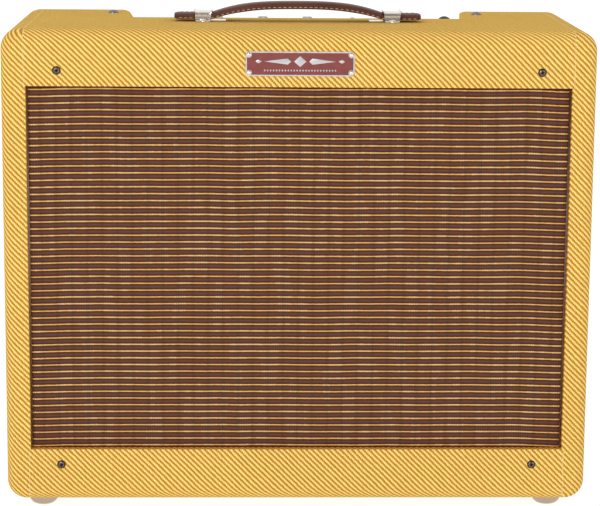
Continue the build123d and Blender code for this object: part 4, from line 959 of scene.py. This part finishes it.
hardware = bmesh.new()
for p in top_places:
    hex_nut(hardware, Vector((p.x, p.y, PANEL_TOP - 1.5 * MM)), -UPWARD, 5.0, 4.0)
POWER_X, POWER_DEPTH = 0.112, 162     # middle of the power transformer's four bolts
for dx in (-24, 24):
    for dy in (-28, 28):
        seat = Vector((POWER_X + dx * MM, FRONT + (POWER_DEPTH + dy) * MM, CHASSIS_LOW))
        bolt = [(0, -44), (3.6, -44), (3.6, -41.4), (2.0, -41.4), (2.0, 5.0), (1.6, 5.5), (0, 5.5)]
        lathe(bolt, 20, hardware, upright(seat, UPWARD))
        hex_nut(hardware, seat + UPWARD * 1.5 * MM, UPWARD, 4.2, 3.0)
output_mid = middle("output_transformer")
wall_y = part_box("chassis")[0].y
for dx in (-35, 35):
    seat = Vector((output_mid.x + dx * MM, wall_y - 2 * MM, output_mid.z))
    bolt = [(0, 6.6), (2.0, 6.6), (2.0, 0), (3.8, 0), (3.6, -1.0), (2.4, -2.2), (0, -2.4)]
    lathe(bolt, 24, hardware, upright(seat, BACKWARD))
    hex_nut(hardware, seat + BACKWARD * 3.5 * MM, BACKWARD, 4.2, 3.0)
place("transformer_bolts", hardware, "cabinet", SLOT_OF["chassis_bolts"],
      "zinc_steel", ["chassis_bolts"])

# ---------------- controls
DIAL = {"tone": "tone_control", "volume_1": "volume_1_control", "volume_2": "volume_2_control"}
DIAL_MARKS = 12
SWEEP = radians(300)
numerals = bmesh.new()
for name, body in DIAL.items():
    knob_low, knob_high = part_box(name + "_knob")
    centre = middle(name + "_shaft")
    softened(name + "_knob", 0.7 * MM, 3)
    line = bmesh.new()
    tip, root = knob_low.y + 1.4 * MM, centre.y - 5.5 * MM
    half = 0.38 * MM
    box_into(line, (centre.x - half, tip, knob_high.z - 0.3 * MM),
             (centre.x + half, root, knob_high.z + 0.05 * MM))
    place(name + "_pointer_line", line, body, "knob_brown", "dial_white")
    for mark in range(DIAL_MARKS):
        angle = -SWEEP / 2 + SWEEP * mark / (DIAL_MARKS - 1)
        spin = Matrix.Translation((centre.x, centre.y, PANEL_TOP)) @ Matrix.Rotation(pi - angle, 4, "Z")
        curve = bpy.data.curves.new("numeral", "FONT")
        curve.body = str(mark + 1)
        curve.size = 3.0 * MM
        curve.extrude = 0.02 * MM
        curve.align_x = "CENTER"
        curve.resolution_u = 3
        text = bpy.data.objects.new("numeral", curve)
        link(text)
        bpy.context.view_layer.update()
        drawn = bpy.data.meshes.new_from_object(text)
        drawn.transform(spin @ Matrix.Translation((0, 17.4 * MM, 0.03 * MM)))
        numerals.from_mesh(drawn)
        bpy.data.objects.remove(text)
        bpy.data.meshes.remove(drawn)
        box_into(numerals, (-0.16 * MM, 15.4 * MM, 0.01 * MM), (0.16 * MM, 16.8 * MM, 0.05 * MM), spin)
bmesh.ops.remove_doubles(numerals, verts=numerals.verts, dist=0.0005 * MM)
place("dial_numerals", numerals, "cabinet", "black_plastic", "dial_black")

jewel = bmesh.new()
FACETS = 12
jewel_rings = [(0, 0), (6.9, 0), (6.9, 6.0), (6.5, 8.2), (5.2, 10.6), (3.0, 12.3), (0, 13.0)]
centre = middle("pilot_lamp_jewel")
lathe(jewel_rings, FACETS, jewel,
      Matrix.Translation((centre.x, centre.y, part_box("pilot_lamp_jewel")[0].z)))
jewel_mesh = new_mesh("pilot_jewel", jewel)
jewel_mesh.shade_flat()
place("pilot_jewel", jewel_mesh, "cabinet", "jewel_red", "jewel_red", ["pilot_lamp_jewel"])

centre = middle("fuse_cap")
FLUTE_DEPTH = 0.45 * MM
FLUTE_STEP = 3.75        # degrees between the cap's points
skirt = [(0, 0), (4.1, 0), (4.1, 9.0), (7.4, 9.1), (7.4, 10.0), (7.3, 10.6), (7.2, 14), (7.1, 18),
         (7.0, 19.8)]
fuse = lathe(skirt + dome_points(6.9, 20.0, 25.0), 96)
for vert in fuse.verts:
    radius = hypot(vert.co.x, vert.co.y)
    if 10.4 * MM < vert.co.z < 19.9 * MM:
        index = round(degrees(atan2(vert.co.y, vert.co.x)) / FLUTE_STEP)
        if index % 4 in (1, 2):
            vert.co.x *= 1 - FLUTE_DEPTH / radius
            vert.co.y *= 1 - FLUTE_DEPTH / radius
fuse.transform(Matrix.Translation((centre.x, centre.y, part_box("fuse_cap")[0].z)))
place("fuse_cap_fluted", fuse, BODY_OF["fuse_cap"], SLOT_OF["fuse_cap"],
      "black_plastic", ["fuse_cap"])

# ---------------- valves
OCTAL_X, NOVAL_X = (0.052, 0.008, -0.036), (-0.078, -0.118)
VALVE_Y = middle("rectifier_tube").y
VALVE_Z = CHASSIS_LOW - 4 * MM
plates, micas, getters = bmesh.new(), bmesh.new(), bmesh.new()
for x, half_x, half_y, near, far, glass_r, glass_end in (
    (OCTAL_X[0], 9.0, 4.5, 20, 62, 13.5, 86.0),
    (OCTAL_X[1], 9.0, 5.0, 20, 60, 13.5, 80.0),
    (OCTAL_X[2], 9.0, 5.0, 20, 60, 13.5, 80.0),
    (NOVAL_X[0], 6.0, 3.0, 12, 38, 9.2, 50.0),
    (NOVAL_X[1], 6.0, 3.0, 12, 38, 9.2, 50.0),
):
    down = upright((x, VALVE_Y, VALVE_Z), (0, 0, -1))
    outline = []
    for i in range(32):
        a = 2 * pi * i / 32
        bulge = 1.0 if abs(cos(a)) < 0.82 else 0.86
        outline.append((half_x * bulge * cos(a), half_y * max(-1, min(1, 1.5 * sin(a)))))
    heights = [near, near + 0.6] + [near + (far - near) * k / 12 for k in range(1, 12)] + [far - 0.6, far]
    rings = []
    for k, h in enumerate(heights):
        swell = 1.0 if k % 3 else 0.93
        rings.append([down @ Vector((px * swell * MM, py * swell * MM, h * MM)) for px, py in outline])
    tube_grid(plates, rings)
    for dx in (-0.6, 0.6):
        for low_h, high_h in ((2.7 if half_x < 7 else 6.1, near), (far, far + 4)):
            wire = [(0, low_h), (0.5, low_h), (0.5, high_h), (0, high_h)]
            beside = down @ Matrix.Translation((dx * half_x * MM, 0, 0))
            lathe(wire, 8, plates, beside)
    for h in (near - 1.0, far + 0.6):
        disc_r = min(glass_r - 0.6, half_x + 2.6)
        disc = [(0, h), (disc_r, h), (disc_r, h + 0.5), (0, h + 0.5)]
        lathe(disc, 28, micas, down)
    inner_tip = glass_end - glass_r * 0.7 - 1.0
    cap = dome_points(glass_r - 0.25, inner_tip, glass_end - 1.3, 7)
    inside = [(max(r - 0.2, 0), z - 0.2) for r, z in cap]
    lathe(cap[::-1] + inside, 32, getters, down)
place("valve_plates", plates, "cabinet", "electrode_metal", "electrode_metal",
      ["tube_electrodes"])
place("valve_micas", micas, "cabinet", "electrode_metal", "mica",
      ["tube_electrodes"])
place("valve_getters", getters, "cabinet", "electrode_metal", "getter_mirror",
      ["tube_electrodes"])

# ---------------- speaker lead
plug = softened("speaker_plug", 0.4 * MM, 3)
LEAD_ROUTE = [
    (-92.66, -45.3, 259.5), (-93.66, -18.1, 254.5), (-103.0, 1.4, 235.2), (-128.0, 19.4, 222.2),
    (-148.0, 36.4, 238.2), (-155.0, 45.4, 270.2), (-155.0, 45.4, 302.2),
]
lead_curve = bpy.data.curves.new("speaker_lead_cord", "CURVE")
lead_curve.dimensions = "3D"
lead_spline = lead_curve.splines.new("NURBS")
lead_spline.points.add(len(LEAD_ROUTE) - 1)
for point, spot in zip(lead_spline.points, LEAD_ROUTE):
    point.co = (*[c * MM for c in spot], 1.0)
lead_spline.order_u = 3
lead_spline.use_endpoint_u = True
lead_spline.resolution_u = 10
lead_curve.bevel_depth = 2.2 * MM
lead_curve.bevel_resolution = 5
lead_curve.use_fill_caps = True
lead_curve.materials.append(MATERIAL["lead_rubber"])
lead = bpy.data.objects.new("speaker_lead_cord", lead_curve)
link(lead)
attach(lead, "cabinet")
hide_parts("speaker_lead")

# ---------------- everything else stands on the CAD shape
power_low, power_high = CHASSIS_LOW - 40 * MM, CHASSIS_LOW - 22 * MM
output_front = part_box("output_transformer")[0].y
MATERIAL_OF = {
    "top_panel": "pine_along_x",
    "bottom_panel": "pine_along_x",
    "front_rails": "pine_along_x",
    "power_transformer": laminated("power_transformer", "z", power_low, power_high),
    "output_transformer": laminated(
        "output_transformer", "y", output_front + 10 * MM, output_front + 32 * MM),
}
for node in NODES:
    if not NODES[node].hide_render:
        softened(node, material=MATERIAL_OF.get(node))

# ---------------- floor and light
stage_mesh = bpy.data.meshes.new("floor")
REACH = 30.0
corners = [(-REACH, -REACH, 0), (REACH, -REACH, 0), (REACH, REACH, 0), (-REACH, REACH, 0)]
stage_mesh.from_pydata(corners, [], [(0, 1, 2, 3)])
floor_piece = bpy.data.objects.new("floor", stage_mesh)
link(floor_piece)
paper = Shader("floor_paper", Roughness=0.9, Specular_IOR_Level=0.1, Emission_Strength=0.9)
paper.surface.inputs["Emission Color"].default_value = (1, 1, 1, 1)
PAPER = (120, 120, 120)
paper.colour(paper.shade(paper.mix(0.0, PAPER, PAPER), paper.noise(3, 2), 0.01))
stage_mesh.materials.append(paper.material)

# The studio is dimmer on the side that the front faces, and full behind the amplifier.
world = bpy.data.worlds.new("studio")
bpy.context.scene.world = world
world.use_nodes = True
sky = world.node_tree
towards = sky.nodes.new("ShaderNodeSeparateXYZ")
sky.links.new(sky.nodes.new("ShaderNodeTexCoord").outputs["Generated"], towards.inputs[0])
dim = sky.nodes.new("ShaderNodeMapRange")
dim.interpolation_type = "SMOOTHSTEP"
for socket, value in (("From Min", -0.75), ("From Max", 0.1), ("To Min", 0.28), ("To Max", 1.0)):
    dim.inputs[socket].default_value = value
sky.links.new(towards.outputs[1], dim.inputs["Value"])
sky.links.new(dim.outputs[0], sky.nodes["Background"].inputs["Strength"])
sky.nodes["Background"].inputs["Color"].default_value = (1.0, 1.0, 1.0, 1.0)


def lamp(name, where, size, power, target=(0, 0, 0.2)):
    light = bpy.data.lights.new(name, "AREA")
    light.shape = "RECTANGLE"
    light.size, light.size_y = size
    light.energy = power
    made = bpy.data.objects.new(name, light)
    made.location = where
    made.rotation_euler = (Vector(target) - Vector(where)).to_track_quat("-Z", "Y").to_euler()
    link(made)


lamp("key", (-1.1, -2.7, 1.3), (1.4, 1.0), 40)
lamp("fill", (1.6, -2.3, 0.8), (1.4, 1.4), 13.5)
bpy.context.scene.view_settings.view_transform = "Standard"
